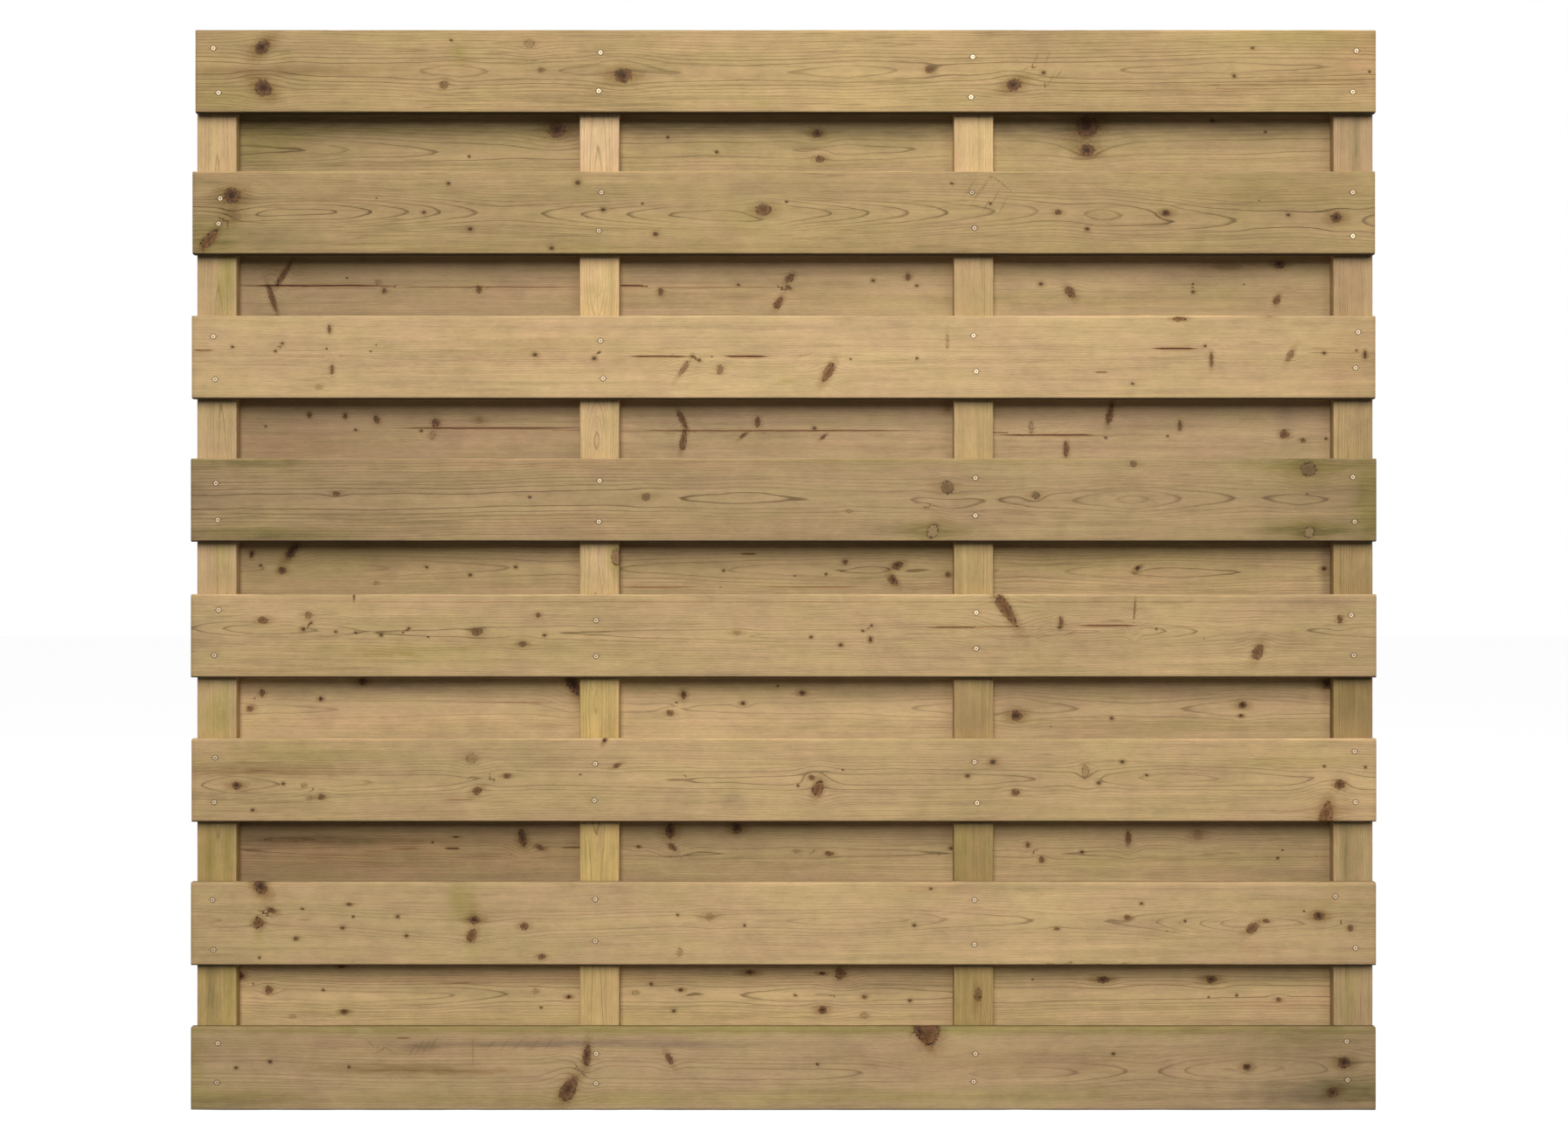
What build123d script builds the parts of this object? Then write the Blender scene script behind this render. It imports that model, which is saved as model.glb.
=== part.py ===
from build123d import *
import os

# Garden fence panel of the hit-and-miss kind: horizontal boards screwed to both sides of
# four upright battens. The boards at the back cover the gaps between the boards at the
# front and lap behind them, so that nobody sees through but air passes.
#
# Millimetres. The origin is on the left batten's outer edge, where a post bracket is
# screwed on: half way up the panel and half way through the batten. +X runs along the
# panel to the right batten, +Z is up, and the front of the panel faces -Y.

# Panel
panel_length = 1800.0  # a board from end to end
panel_height = 1640.5  # from the foot to the top edge of the top board

# Boards
board_width = 126.5
board_thickness = 16.0
board_arris = 3.0  # rounding of a board's four long edges
board_end_ease = 0.8  # small chamfer round a sawn end
front_count = 8
back_count = front_count - 1

# Battens
batten_width = 60.0
batten_thickness = 20.0
batten_arris = 1.5
batten_end_ease = 0.8
left_overhang = 5.0  # the boards run past the left batten by this
right_overhang = 1.0  # and past the right batten by this
inner_batten_shift = {"mid_left": 6.0, "mid_right": -1.0}  # off the even spacing, as nailed up

# How the front boards lie, from the top one down: how far each is lifted off the even
# spacing, and how far its left and right ends stop short of the full length.
front_lift = (0.0, 1.5, -1.5, -2.0, 8.0, 5.0, 3.5, 0.0)
front_left_short = (7.0, 2.5, 1.5, 0.0, 0.0, 1.0, 0.0, 0.0)
front_right_short = (1.0, 2.0, 1.5, 0.0, 0.0, 0.0, 0.5, 1.0)

# Worked out from the sizes above
foot_z = -panel_height / 2
top_board_z = panel_height / 2 - board_width / 2
front_pitch = (panel_height - board_width) / (front_count - 1)  # between board centres
boards_from_x = -left_overhang
boards_to_x = panel_length - left_overhang
battens_to_x = boards_to_x - right_overhang
batten_spacing = (battens_to_x - batten_width) / 3
front_board_y = -(batten_thickness + board_thickness) / 2
back_board_y = -front_board_y

def ease_ends(piece, axis, size):
    """Chamfers the rims of the two sawn ends that face along the axis."""
    ends = piece.faces().filter_by(axis).sort_by(axis)
    chamfer(ends[0].edges() + ends[-1].edges(), length=size)

def make_board(label, from_x, to_x, middle_y, middle_z):
    """A planed board lying along X, with rounded long edges and sawn ends."""
    with BuildPart() as board:
        with BuildSketch(Plane.YZ.offset(from_x)):
            with Locations((middle_y, middle_z)):
                RectangleRounded(board_thickness, board_width, board_arris)
        extrude(amount=to_x - from_x)
        ease_ends(board, Axis.X, board_end_ease)
    board.part.label = label
    return board.part

def make_batten(label, outer_x):
    """An upright batten, from the foot of the panel to its top."""
    with BuildPart() as batten:
        with BuildSketch(Plane.XY.offset(foot_z)):
            with Locations((outer_x + batten_width / 2, 0)):
                RectangleRounded(batten_width, batten_thickness, batten_arris)
        extrude(amount=panel_height)
        ease_ends(batten, Axis.Z, batten_end_ease)
    batten.part.label = label
    return batten.part

pieces = []

# The front boards, counted from the top
for number in range(front_count):
    as_built = number % len(front_lift)
    pieces.append(
        make_board(
            f"front_board_{number + 1}",
            boards_from_x + front_left_short[as_built],
            boards_to_x - front_right_short[as_built],
            front_board_y,
            top_board_z - number * front_pitch + front_lift[as_built],
        )
    )

# The back boards, each behind the middle of a gap
for number in range(back_count):
    gap_z = top_board_z - (number + 0.5) * front_pitch
    pieces.append(
        make_board(f"back_board_{number + 1}", boards_from_x, boards_to_x, back_board_y, gap_z)
    )

# The battens, the outer two at the ends and the inner two near the thirds
pieces.append(make_batten("batten_left", 0))
pieces.append(make_batten("batten_mid_left", batten_spacing + inner_batten_shift["mid_left"]))
pieces.append(make_batten("batten_mid_right", 2 * batten_spacing + inner_batten_shift["mid_right"]))
pieces.append(make_batten("batten_right", 3 * batten_spacing))

os.makedirs("parts", exist_ok=True)
for piece in pieces:
    export_step(piece, f"parts/{piece.label}.step")
print("pieces", len(pieces), "panel", panel_length, "x", panel_height)
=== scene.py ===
# Garden fence panel: the looks of its timber and screws, its light and its camera.
# Lengths are metres, as in the frame. The wood's own patterns are measured in millimetres.
import math

import bpy
import numpy as np
from mathutils import Matrix, Vector


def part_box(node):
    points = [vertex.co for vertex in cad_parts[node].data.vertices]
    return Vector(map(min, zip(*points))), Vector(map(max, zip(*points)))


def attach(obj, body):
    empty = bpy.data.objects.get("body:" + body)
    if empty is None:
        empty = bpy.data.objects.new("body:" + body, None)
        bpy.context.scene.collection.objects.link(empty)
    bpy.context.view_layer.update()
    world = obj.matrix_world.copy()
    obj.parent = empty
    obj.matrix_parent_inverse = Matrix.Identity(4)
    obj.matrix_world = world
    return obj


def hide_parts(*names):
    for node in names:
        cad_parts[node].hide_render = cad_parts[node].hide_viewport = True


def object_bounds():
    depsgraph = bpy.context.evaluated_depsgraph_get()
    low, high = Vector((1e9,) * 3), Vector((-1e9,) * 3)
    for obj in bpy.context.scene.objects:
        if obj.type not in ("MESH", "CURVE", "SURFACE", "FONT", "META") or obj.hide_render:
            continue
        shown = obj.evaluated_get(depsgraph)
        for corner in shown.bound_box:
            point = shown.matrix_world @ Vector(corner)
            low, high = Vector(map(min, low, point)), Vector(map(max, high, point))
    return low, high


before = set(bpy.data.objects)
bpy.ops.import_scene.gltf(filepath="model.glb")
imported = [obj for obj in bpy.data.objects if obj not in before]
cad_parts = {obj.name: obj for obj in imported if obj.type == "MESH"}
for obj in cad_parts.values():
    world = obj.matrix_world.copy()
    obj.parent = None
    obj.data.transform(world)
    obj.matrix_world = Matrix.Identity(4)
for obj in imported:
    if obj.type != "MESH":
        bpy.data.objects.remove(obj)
cadLow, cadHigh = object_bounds()
print("frame loaded,", len(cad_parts), "pieces of timber")

millimetre = 0.001

# The camera looks at the middle of the panel, square on
view = {
    "place": (0.8956, -2.886, 0.003),
    "lens": 43.28,
    "sensor": 36.0,
    "photoWidth": 1794,
    "photoHeight": 1300,
}


def makeCamera():
    data = bpy.data.cameras.new("camera")
    data.lens = view["lens"]
    data.sensor_width = view["sensor"]
    camera = bpy.data.objects.new("camera", data)
    camera.location = view["place"]
    camera.rotation_euler = (math.radians(90), 0, 0)
    bpy.context.scene.collection.objects.link(camera)
    bpy.context.scene.camera = camera
    bpy.context.scene.view_settings.view_transform = "Standard"


def fromPhoto(pixelX, pixelY, faceY):
    # where a pixel of the photograph lies on an upright plane at faceY
    distance = faceY - view["place"][1]
    perPixel = distance * view["sensor"] / view["lens"] / view["photoWidth"]
    x = view["place"][0] + (pixelX - view["photoWidth"] / 2) * perPixel
    z = view["place"][2] - (pixelY - view["photoHeight"] / 2) * perPixel
    return x, z, perPixel


# Node trees, written as expressions


class Wire:  # an output of a node, which the usual signs work on
    def __init__(self, graph, socket):
        self.graph = graph
        self.socket = socket

    def __add__(self, other):
        return self.graph.maths("ADD", self, other)

    def __sub__(self, other):
        return self.graph.maths("SUBTRACT", self, other)

    def __mul__(self, other):
        return self.graph.maths("MULTIPLY", self, other)

    def __truediv__(self, other):
        return self.graph.maths("DIVIDE", self, other)

    def __pow__(self, other):
        return self.graph.maths("POWER", self, other)

    def __rsub__(self, other):
        return self.graph.maths("SUBTRACT", other, self)

    def __abs__(self):
        return self.graph.maths("ABSOLUTE", self)

    __radd__ = __add__
    __rmul__ = __mul__


class Graph:  # one node tree, for a material or for geometry
    def __init__(self, tree):
        self.tree = tree
        tree.nodes.clear()

    def plug(self, socket, value):
        if isinstance(value, Wire):
            self.tree.links.new(value.socket, socket)
        elif hasattr(socket.default_value, "__len__") and not hasattr(value, "__len__"):
            socket.default_value = (value,) * len(socket.default_value)
        else:
            socket.default_value = value

    def node(self, kind, settings, inputs, *outputs):
        made = self.tree.nodes.new(kind)
        for name, value in settings.items():
            setattr(made, name, value)
        for key, value in inputs.items():
            self.plug(made.inputs[key], value)
        wires = [Wire(self, made.outputs[key]) for key in outputs]
        return wires[0] if len(wires) == 1 else wires

    def maths(self, operation, *values):
        wires = [value for value in values if isinstance(value, Wire)]
        numbered = dict(enumerate(values))
        if any(wire.socket.type == "VECTOR" for wire in wires):
            output = 1 if operation == "LENGTH" else 0
            return self.node("ShaderNodeVectorMath", {"operation": operation}, numbered, output)
        return self.node("ShaderNodeMath", {"operation": operation}, numbered, 0)

    def larger(self, first, second):
        return self.maths("MAXIMUM", first, second)

    def parts(self, vector):
        return self.node("ShaderNodeSeparateXYZ", {}, {0: vector}, 0, 1, 2)

    def joined(self, x, y, z):
        return self.node("ShaderNodeCombineXYZ", {}, {0: x, 1: y, 2: z}, 0)

    def ramped(self, value, start, end, low=0.0, high=1.0, smooth=True):
        # low below start and high above end
        settings = {"interpolation_type": "SMOOTHSTEP" if smooth else "LINEAR"}
        inputs = {"Value": value, "From Min": start, "From Max": end, "To Min": low, "To Max": high}
        return self.node("ShaderNodeMapRange", settings, inputs, "Result")

    def faded(self, value, start, end):  # 1 below start and 0 above end
        return self.ramped(value, start, end, 1.0, 0.0)

    def noise(self, vector, detail=2.0, roughness=0.5):
        inputs = {"Vector": vector, "Scale": 1.0, "Detail": detail, "Roughness": roughness}
        return self.node("ShaderNodeTexNoise", {}, inputs, 0)

    def mixed(self, factor, first, second, way="MIX"):
        settings = {"data_type": "RGBA", "blend_type": way}
        return self.node("ShaderNodeMix", settings, {0: factor, 6: first, 7: second}, 2)

    def times(self, colour, tint):  # a colour multiplied by a tint
        return self.mixed(1.0, colour, tint, "MULTIPLY")

    def tinted(self, factor, colour, tint):  # the same, by as much as the factor says
        return self.mixed(factor, colour, self.times(colour, tint))

    def ownVector(self, name):
        return self.node("ShaderNodeAttribute", {"attribute_name": name}, {}, "Vector")

    def ownNumber(self, name):
        return self.node("ShaderNodeAttribute", {"attribute_name": name}, {}, "Fac")

    def show(self, kind, surface):  # kind is Material or World
        output = self.tree.nodes.new("ShaderNodeOutput" + kind)
        self.plug(output.inputs["Surface"], surface)


def paint(red, green, blue):
    # a colour as it shows on a screen, 0 to 255, as the shader wants it
    linear = [(part / 255 / 12.92) if part < 11 else ((part / 255 + 0.055) / 1.055) ** 2.4
              for part in (red, green, blue)]
    return (*linear, 1.0)


def newTree(name, inputs):
    # a geometry tree with named inputs, each with its socket type
    tree = bpy.data.node_groups.new(name, "GeometryNodeTree")
    for label, kind in inputs.items():
        tree.interface.new_socket(name=label, in_out="INPUT", socket_type="NodeSocket" + kind)
    tree.interface.new_socket(name="Geometry", in_out="OUTPUT", socket_type="NodeSocketGeometry")
    graph = Graph(tree)
    start = tree.nodes.new("NodeGroupInput")
    given = {label: Wire(graph, start.outputs[label]) for label in inputs}
    return graph, given


def endTree(graph, geometry):
    end = graph.tree.nodes.new("NodeGroupOutput")
    graph.plug(end.inputs[0], geometry)
    return graph.tree


def grow(name, mesh, tree, values):
    # runs a tree on a mesh and gives a plain object with the result
    piece = bpy.data.objects.new(name, mesh)
    bpy.context.scene.collection.objects.link(piece)
    modifier = piece.modifiers.new("shape", "NODES")
    modifier.node_group = tree
    for item in tree.interface.items_tree:
        if item.name in values:
            modifier[item.identifier] = values[item.name]
    evaluated = piece.evaluated_get(bpy.context.evaluated_depsgraph_get())
    result = bpy.data.meshes.new_from_object(evaluated)
    piece.modifiers.remove(modifier)
    piece.data = result
    result.name = name
    return piece


# Timber: one tree makes every board and batten

timber = {
    "step": 6.2 * millimetre,  # between lattice lines along a piece
    "crossStep": 3.3 * millimetre,
    "boardArris": 3.0 * millimetre,
    "battenArris": 1.5 * millimetre,
    "endEase": 0.8 * millimetre,
    "thicknessLines": 7,
    "faceSink": 0.36 * millimetre,  # the planed face lies this far under the sawn size
    "faceWave": 0.25 * millimetre,
    "boardWave": 0.6 * millimetre,  # how far the planed edges wander in
    "battenWave": 0.3 * millimetre,
    "edgeWaveLength": 70 * millimetre,
}


def timberTree():
    graph, given = newTree("planedTimber", {
        "Length": "Float", "Width": "Float", "Thickness": "Float", "Arris": "Float",
        "End Ease": "Float", "Length Lines": "Int", "Width Lines": "Int",
        "Thickness Lines": "Int", "Face Sink": "Float", "Face Wave": "Float",
        "Edge Wave": "Float", "Wave Length": "Float", "Seed": "Float", "Material": "Material",
    })
    length, width, thickness = given["Length"], given["Width"], given["Thickness"]
    arris, ease = given["Arris"], given["End Ease"]
    block = graph.node("GeometryNodeMeshCube", {}, {
        "Size": graph.joined(length, thickness, width),
        "Vertices X": given["Length Lines"],
        "Vertices Y": given["Thickness Lines"],
        "Vertices Z": given["Width Lines"],
    }, "Mesh")
    x, y, z = graph.parts(graph.node("GeometryNodeInputPosition", {}, {}, "Position"))

    def gathered(along, size, lines, edgeLines, rim):
        # draws the last lines of the lattice together into the rounded rim
        half = size / 2
        flat = half - size / (lines - 1) * edgeLines
        reach = abs(along)
        inner = graph.ramped(reach, 0, flat, 0, half - rim, smooth=False)
        outer = graph.ramped(reach, flat, half, 0, rim, smooth=False)
        return (inner + outer) * graph.maths("SIGN", along)

    lattice = graph.joined(
        gathered(x, length, given["Length Lines"], 1, ease),
        gathered(y, thickness, given["Thickness Lines"], 2, arris),
        gathered(z, width, given["Width Lines"], 2, arris),
    )
    rim = graph.joined(ease, arris, arris)
    core = graph.joined(length / 2 - ease, thickness / 2 - arris, width / 2 - arris)
    held = graph.larger(graph.maths("MINIMUM", lattice, core), core * -1.0)
    over = (lattice - held) / rim
    rounded = held + over / graph.maths("LENGTH", over) * rim

    # planed faces and edges are a little uneven, always inwards
    x, y, z = graph.parts(rounded)
    side, edge = graph.maths("SIGN", y), graph.maths("SIGN", z)
    run = x / given["Wave Length"] + given["Seed"]
    onFace = graph.noise(graph.joined(run * 0.5, z / given["Wave Length"], side * 9.0))
    onEdge = graph.noise(graph.joined(run, edge * 9.0, given["Seed"]), detail=3.0)
    sunk = given["Face Sink"] + given["Face Wave"] * graph.ramped(onFace, 0.25, 0.75)
    drawn = given["Edge Wave"] * graph.ramped(onEdge, 0.42, 0.85)
    y = y * (1 - sunk / (thickness / 2))
    z = z * (1 - drawn / (width / 2))
    shaped = graph.node("GeometryNodeSetPosition", {}, {
        "Geometry": block, "Position": graph.joined(x, y, z),
    }, "Geometry")
    smooth = graph.node("GeometryNodeSetShadeSmooth", {}, {0: shaped}, 0)
    covered = graph.node("GeometryNodeSetMaterial", {}, {
        "Geometry": smooth, "Material": given["Material"],
    }, 0)
    return endTree(graph, covered)


# How each kind of knot looks: how red, how dark and how clearly ringed
knotKinds = {
    "dark": (0.2, 0.88, 0.4),
    "brown": (0.35, 0.55, 0.5),
    "tan": (0.35, 0.38, 0.4),
    "red": (1.0, 0.62, 0.2),
    "deep": (0.6, 0.76, 0.3),
    "scratch": (0.1, 0.24, 0.0),
    "olive": (0.0, 0.38, 0.9),
    "grey": (0.0, 0.15, 1.0),
    "faint": (0.7, 0.22, 0.1),
    "smudge": (0.1, 0.42, 0.0),
}

# What each piece's wood shows, with its places in pixels of the photograph.
# spacing: mm from ring to ring, contrast: how strong the rings are, blue: how much blue is left
# in the colour, edgeHighlight: how light a board's upper edge is, a painted highlight. contrast
# and blue stay the same or are lists of (pixel along, value).
# rings: (pixel along, how many rings lie between the log's pith and the face); an arch of
# the grain has its tip where this passes a whole number
# centre: (pixel along, mm that the pith lies above the middle)
# light: (pixel along, how light the wood is)
# knots: (x, y, long, high, tilt in degrees, kind), scratches: (x, y, long, tilt)
# pins: (x, y, size), cracks: (from x, to x, y, width)
# stains: (x, y, half length, half height, kind, strength)
wood = {
    "front_board_1": {
        "spacing": 4.2, "contrast": 1.25, "blue": 0.98,
        "rings": [
            (219, 5.4), (440, 5.3), (478, 4.95), (520, 4.25), (559, 4.95), (600, 5.3), (636, 4.95),
            (700, 4.2), (780, 4.95), (850, 5.3), (910, 4.95), (967, 4.25), (1025, 4.95), (1080, 5.6),
            (1200, 5.2), (1400, 4.5), (1573, 5.2),
        ],
        "centre": [(219, 4), (800, -2), (1000, 0), (1573, 6)],
        "light": [(350, 0.89), (500, 0.98), (700, 0.97), (1000, 1.1), (1200, 0.92), (1500, 1.02)],
        "knots": [
            (300, 54, 20, 15, 45, "dark"), (301.5, 101, 20, 19, -30, "dark"), (508, 97, 10, 9, 50, "tan"),
            (713, 86.5, 20, 17, 0, "dark"), (619, 80, 8, 6, 0, "tan"), (606, 50, 12, 10, 0, "faint"),
            (1063, 80, 9, 8, 0, "brown"), (1160, 97, 17, 14, 20, "dark"),
        ],
        "scratches": [
            (1186, 66, 7, 70), (1198, 67, 8, 68), (1173, 79, 7, 30), (1203, 90, 9, 60), (1212, 84, 7, 52),
        ],
        "pins": [(516, 46, 4), (1194, 83, 5), (1412, 87, 5), (1433, 55, 4), (1567, 82, 4)],
        "cracks": [(1180, 1470, 104, 0.35), (1380, 1573, 97, 0.4), (1430, 1573, 91, 0.3)],
        "stains": [
            (1565, 60, 40, 34, "pink", 0.6), (320, 82, 110, 5, "brown", 0.9),
            (526, 61, 8, 14, "green", 0.8), (872, 118, 9, 6, "yellow", 1.0),
            (250, 110, 60, 20, "green", 0.5), (1500, 40, 90, 14, "green", 0.4),
        ],
    },
    "front_board_2": {
        "spacing": 3.0, "blue": 0.99,
        "contrast": [(219, 1.1), (740, 1.1), (785, 0.6), (870, 0.6), (930, 1.1), (1573, 1.1)],
        "rings": [
            (219, 6.6), (310, 5.5), (388, 5.95), (545, 9.95), (572, 10.4), (617, 9.95), (765, 6.95),
            (820, 6.3), (900, 6.8), (1085, 10.95), (1215, 13.4), (1262, 12.6), (1417, 14.95),
            (1440, 15.3), (1500, 15.4), (1559, 14.95), (1573, 14.5),
        ],
        "centre": [
            (219, 2), (567, 0), (800, -4), (1105, 2), (1195, 1), (1262, -3), (1370, -11), (1417, -12),
            (1480, -9), (1573, -12),
        ],
        "light": [(350, 0.84), (600, 0.90), (900, 0.93), (1200, 0.89), (1500, 0.85)],
        "knots": [
            (265.5, 224, 19, 19, 0, "dark"), (240, 273, 29, 11, 50, "red"),
            (268, 246, 14, 20, 30, "smudge"), (874, 240, 18, 14, 0, "brown"),
            (1334, 244, 10, 8, 0, "dark"), (1529, 249, 13, 12, 0, "dark"), (1211, 243, 9, 6, 0, "brown"),
        ],
        "scratches": [
            (1110, 214, 10, 55), (1118, 223, 12, 58), (1126, 213, 9, 60), (1128, 236, 9, 62),
            (1138, 227, 13, 60), (1147, 236, 10, 64), (1150, 213, 12, -42), (1141, 206, 9, -38),
        ],
        "pins": [
            (286, 210, 3), (431, 227, 3), (485, 243, 5), (513, 210, 5), (538, 262, 6), (631, 284, 6),
            (661, 209, 7), (690, 240, 6), (735, 233, 3), (750, 268, 7), (900, 231, 4), (929, 284, 2),
            (1089, 210, 4), (1133, 233, 4), (1244, 262, 6), (1441, 230, 3), (1474, 246, 5),
        ],
        "stains": [
            (238, 272, 38, 22, "green", 0.9), (232, 262, 30, 30, "grey", 0.35),
            (300, 270, 70, 16, "grey", 0.5), (850, 255, 22, 16, "green", 0.5),
            (1460, 222, 90, 16, "green", 0.45), (870, 215, 40, 14, "grey", 0.35),
            (750, 284, 500, 7, "green", 0.35),
        ],
    },
    "front_board_3": {
        "spacing": 3.4, "contrast": 0.7, "blue": 1.07,
        "rings": [(219, 0.7), (800, 0.3), (1200, 1.6), (1573, 0.7)],
        "centre": [(219, 3), (600, -2), (830, 0), (1100, 4), (1573, 6)],
        "light": [(350, 1.14), (600, 1.21), (900, 1.25), (1200, 1.18), (1420, 1.19), (1560, 1.03)],
        "knots": [
            (377, 377, 4, 10, 0, "brown"), (380, 423, 4, 11, 0, "brown"), (782, 422, 20, 6, 235, "tan"),
            (824, 423, 8, 11, 0, "tan"), (947, 427, 25, 10, 240, "red"), (1350, 365, 16, 5, 0, "red"),
            (1386, 412, 4, 18, 0, "brown"), (1476, 407, 15, 7, 240, "tan"), (1562, 406, 4, 9, 0, "dark"),
            (1453, 361, 10, 6, 0, "smudge"), (365, 443, 8, 5, 0, "faint"), (1084, 390, 3, 16, 0, "faint"),
        ],
        "pins": [
            (266, 397, 4), (323, 393, 4), (315, 402, 4), (374, 399, 3), (431, 395, 3), (424, 402, 3),
            (612, 406, 6), (792, 408, 4), (800, 412, 5), (680, 410, 6), (686, 403, 3), (973, 411, 3),
            (1049, 410, 4), (1379, 396, 4), (1515, 404, 5), (1552, 401, 3), (1296, 439, 4),
        ],
        "cracks": [
            (717, 792, 408, 1.4), (828, 881, 408, 1.6), (1318, 1372, 399, 1.7), (220, 245, 401, 1.0),
            (1252, 1268, 426, 1.0),
        ],
        "stains": [
            (899, 436, 9, 2, "green", 1.0), (1540, 420, 40, 40, "pink", 0.5),
            (620, 400, 100, 30, "pink", 0.3), (800, 374, 300, 3, "grey", 0.4),
        ],
    },
    "front_board_4": {
        "spacing": 3.8, "blue": 1.07,
        "contrast": [(219, 1.4), (740, 1.3), (780, 0.9), (930, 0.8), (1000, 0.75), (1573, 0.8)],
        "rings": [
            (219, 7.4), (430, 7.2), (560, 7.4), (700, 7.3), (774, 6.95), (845, 6.5), (917, 6.95),
            (1010, 7.3), (1039, 6.95), (1083, 6.05), (1127, 6.95), (1135, 7.05), (1143, 6.95),
            (1228, 5.95), (1275, 4.95), (1296, 4.5), (1317, 4.95), (1351, 5.95), (1418, 6.95),
            (1434, 7.1), (1449, 6.95), (1487, 6.3), (1524, 6.95), (1573, 7.4),
        ],
        "centre": [(219, -4), (430, -2), (640, 2), (880, 4), (1085, -2), (1300, 2), (1573, 2)],
        "light": [
            (350, 0.80), (600, 0.88), (900, 0.87), (1150, 0.87), (1240, 0.94), (1330, 0.92), (1430, 0.83),
            (1500, 0.76), (1560, 0.71),
        ],
        "knots": [
            (385, 565, 9, 5, 0, "brown"), (739, 569, 10, 9, 0, "olive"), (1084, 558, 15, 15, 0, "olive"),
            (1067, 608, 18, 13, 70, "grey"), (1185, 567, 9, 9, 0, "olive"), (1297, 531, 8, 7, 0, "olive"),
            (1497, 537, 18, 17, 0, "olive"), (1498, 609, 14, 12, 60, "grey"), (971, 585, 5, 4, 0, "grey"),
            (1060, 581, 6, 3, 0, "faint"),
        ],
        "pins": [(606, 569, 4), (1495, 565, 3)],
        "stains": [
            (1045, 607, 60, 6, "grey", 0.7), (1510, 609, 70, 7, "grey", 0.8),
            (1500, 526, 80, 6, "grey", 0.8), (1567, 568, 9, 46, "green", 0.8),
            (1497, 540, 34, 16, "green", 0.8), (1498, 609, 30, 12, "brown", 0.6),
            (1067, 609, 34, 12, "brown", 0.4), (290, 612, 100, 6, "grey", 0.8),
            (290, 529, 110, 6, "grey", 0.7), (224, 570, 12, 40, "grey", 0.5),
            (300, 610, 90, 7, "green", 1.0), (280, 528, 80, 7, "green", 0.8),
            (1067, 606, 38, 9, "green", 0.9), (1497, 605, 60, 8, "green", 0.9),
            (1500, 532, 70, 7, "green", 1.0), (1565, 570, 16, 40, "green", 0.9),
            (1000, 527, 200, 5, "green", 0.5), (700, 598, 250, 12, "pink", 0.35),
            (640, 530, 260, 10, "pink", 0.4), (250, 575, 40, 12, "grey", 0.4),
        ],
    },
    "front_board_5": {
        "spacing": 3.8, "contrast": 0.85, "blue": 1.05,
        "rings": [
            (219, 4), (300, 1.7), (420, 4), (700, 2.7), (1000, 1), (1250, 0.7), (1400, 4.7), (1573, 3.3),
        ],
        "centre": [(219, 12), (300, 10), (460, 6), (800, 2), (1000, 0), (1280, 8), (1573, 6)],
        "light": [(350, 1.15), (600, 1.06), (900, 1.12), (1200, 1.07), (1400, 1.11), (1560, 1.0)],
        "knots": [
            (301, 710, 12, 8, 0, "brown"), (353, 704, 8, 8, 0, "tan"), (546, 723, 12, 9, 0, "brown"),
            (598, 737, 9, 7, 0, "brown"), (616, 704, 6, 6, 0, "brown"), (843, 724, 10, 6, 0, "smudge"),
            (1152, 699, 42, 12, -57, "red"), (1214, 712, 5, 12, 0, "brown"),
            (1439, 746, 18, 12, 65, "brown"), (1533, 709, 6, 9, 0, "brown"),
            (1298, 699, 2, 27, -5, "tan"), (405, 683, 2, 10, 0, "brown"), (996, 732, 4, 7, 0, "dark"),
        ],
        "pins": [
            (347, 720, 6), (356, 713, 4), (384, 723, 4), (407, 724, 4), (436, 727, 5), (468, 719, 4),
            (461, 724, 3), (490, 729, 3), (623, 727, 5), (928, 729, 5), (962, 738, 6), (987, 722, 4),
            (997, 716, 4), (1323, 720, 3), (1377, 730, 3), (1212, 718, 4),
        ],
        "cracks": [
            (1058, 1124, 718, 1.2), (1114, 1168, 717, 0.6), (1232, 1304, 716, 1.2), (219, 1573, 689, 0.3),
        ],
        "stains": [
            (226, 730, 24, 45, "grey", 0.45), (500, 745, 180, 14, "green", 0.45),
            (445, 748, 40, 6, "brown", 0.7), (290, 768, 90, 4, "brown", 0.6),
            (1500, 690, 70, 10, "grey", 0.4), (830, 772, 60, 4, "grey", 0.6),
        ],
    },
    "front_board_6": {
        "spacing": 3.6, "contrast": 0.9, "blue": 1.04,
        "rings": [
            (219, 4.4), (260, 2.6), (330, 4.2), (620, 6.3), (900, 5.6), (1110, 5.3), (1186, 5.95),
            (1215, 6.3), (1252, 5.95), (1297, 4.95), (1340, 4.5), (1450, 5.4), (1573, 6.4),
        ],
        "centre": [(219, -8), (300, -6), (600, 3), (900, 0), (1150, 2), (1340, 4), (1573, -4)],
        "light": [(280, 1.06), (600, 1.03), (800, 1.18), (1100, 1.09), (1573, 1.17)],
        "knots": [
            (271, 899, 11, 9, 0, "dark"), (368, 912, 8, 7, 0, "brown"), (546, 905, 11, 9, 30, "brown"),
            (580, 888, 9, 6, 0, "brown"), (692, 847, 7, 5, 60, "dark"), (706, 876, 10, 5, 25, "brown"),
            (929, 890, 8, 6, 0, "brown"), (936, 902, 19, 12, 70, "red"), (1162, 907, 9, 7, 0, "red"),
            (1533, 898, 12, 11, 0, "deep"), (1518, 930, 26, 14, 80, "red"), (348, 899, 6, 5, 0, "faint"),
            (354, 913, 6, 5, 0, "faint"), (540, 868, 12, 12, 0, "faint"), (1242, 883, 8, 16, 0, "faint"),
        ],
        "pins": [
            (324, 897, 5), (289, 927, 5), (664, 886, 3), (784, 888, 3), (913, 899, 4), (1107, 888, 6),
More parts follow.
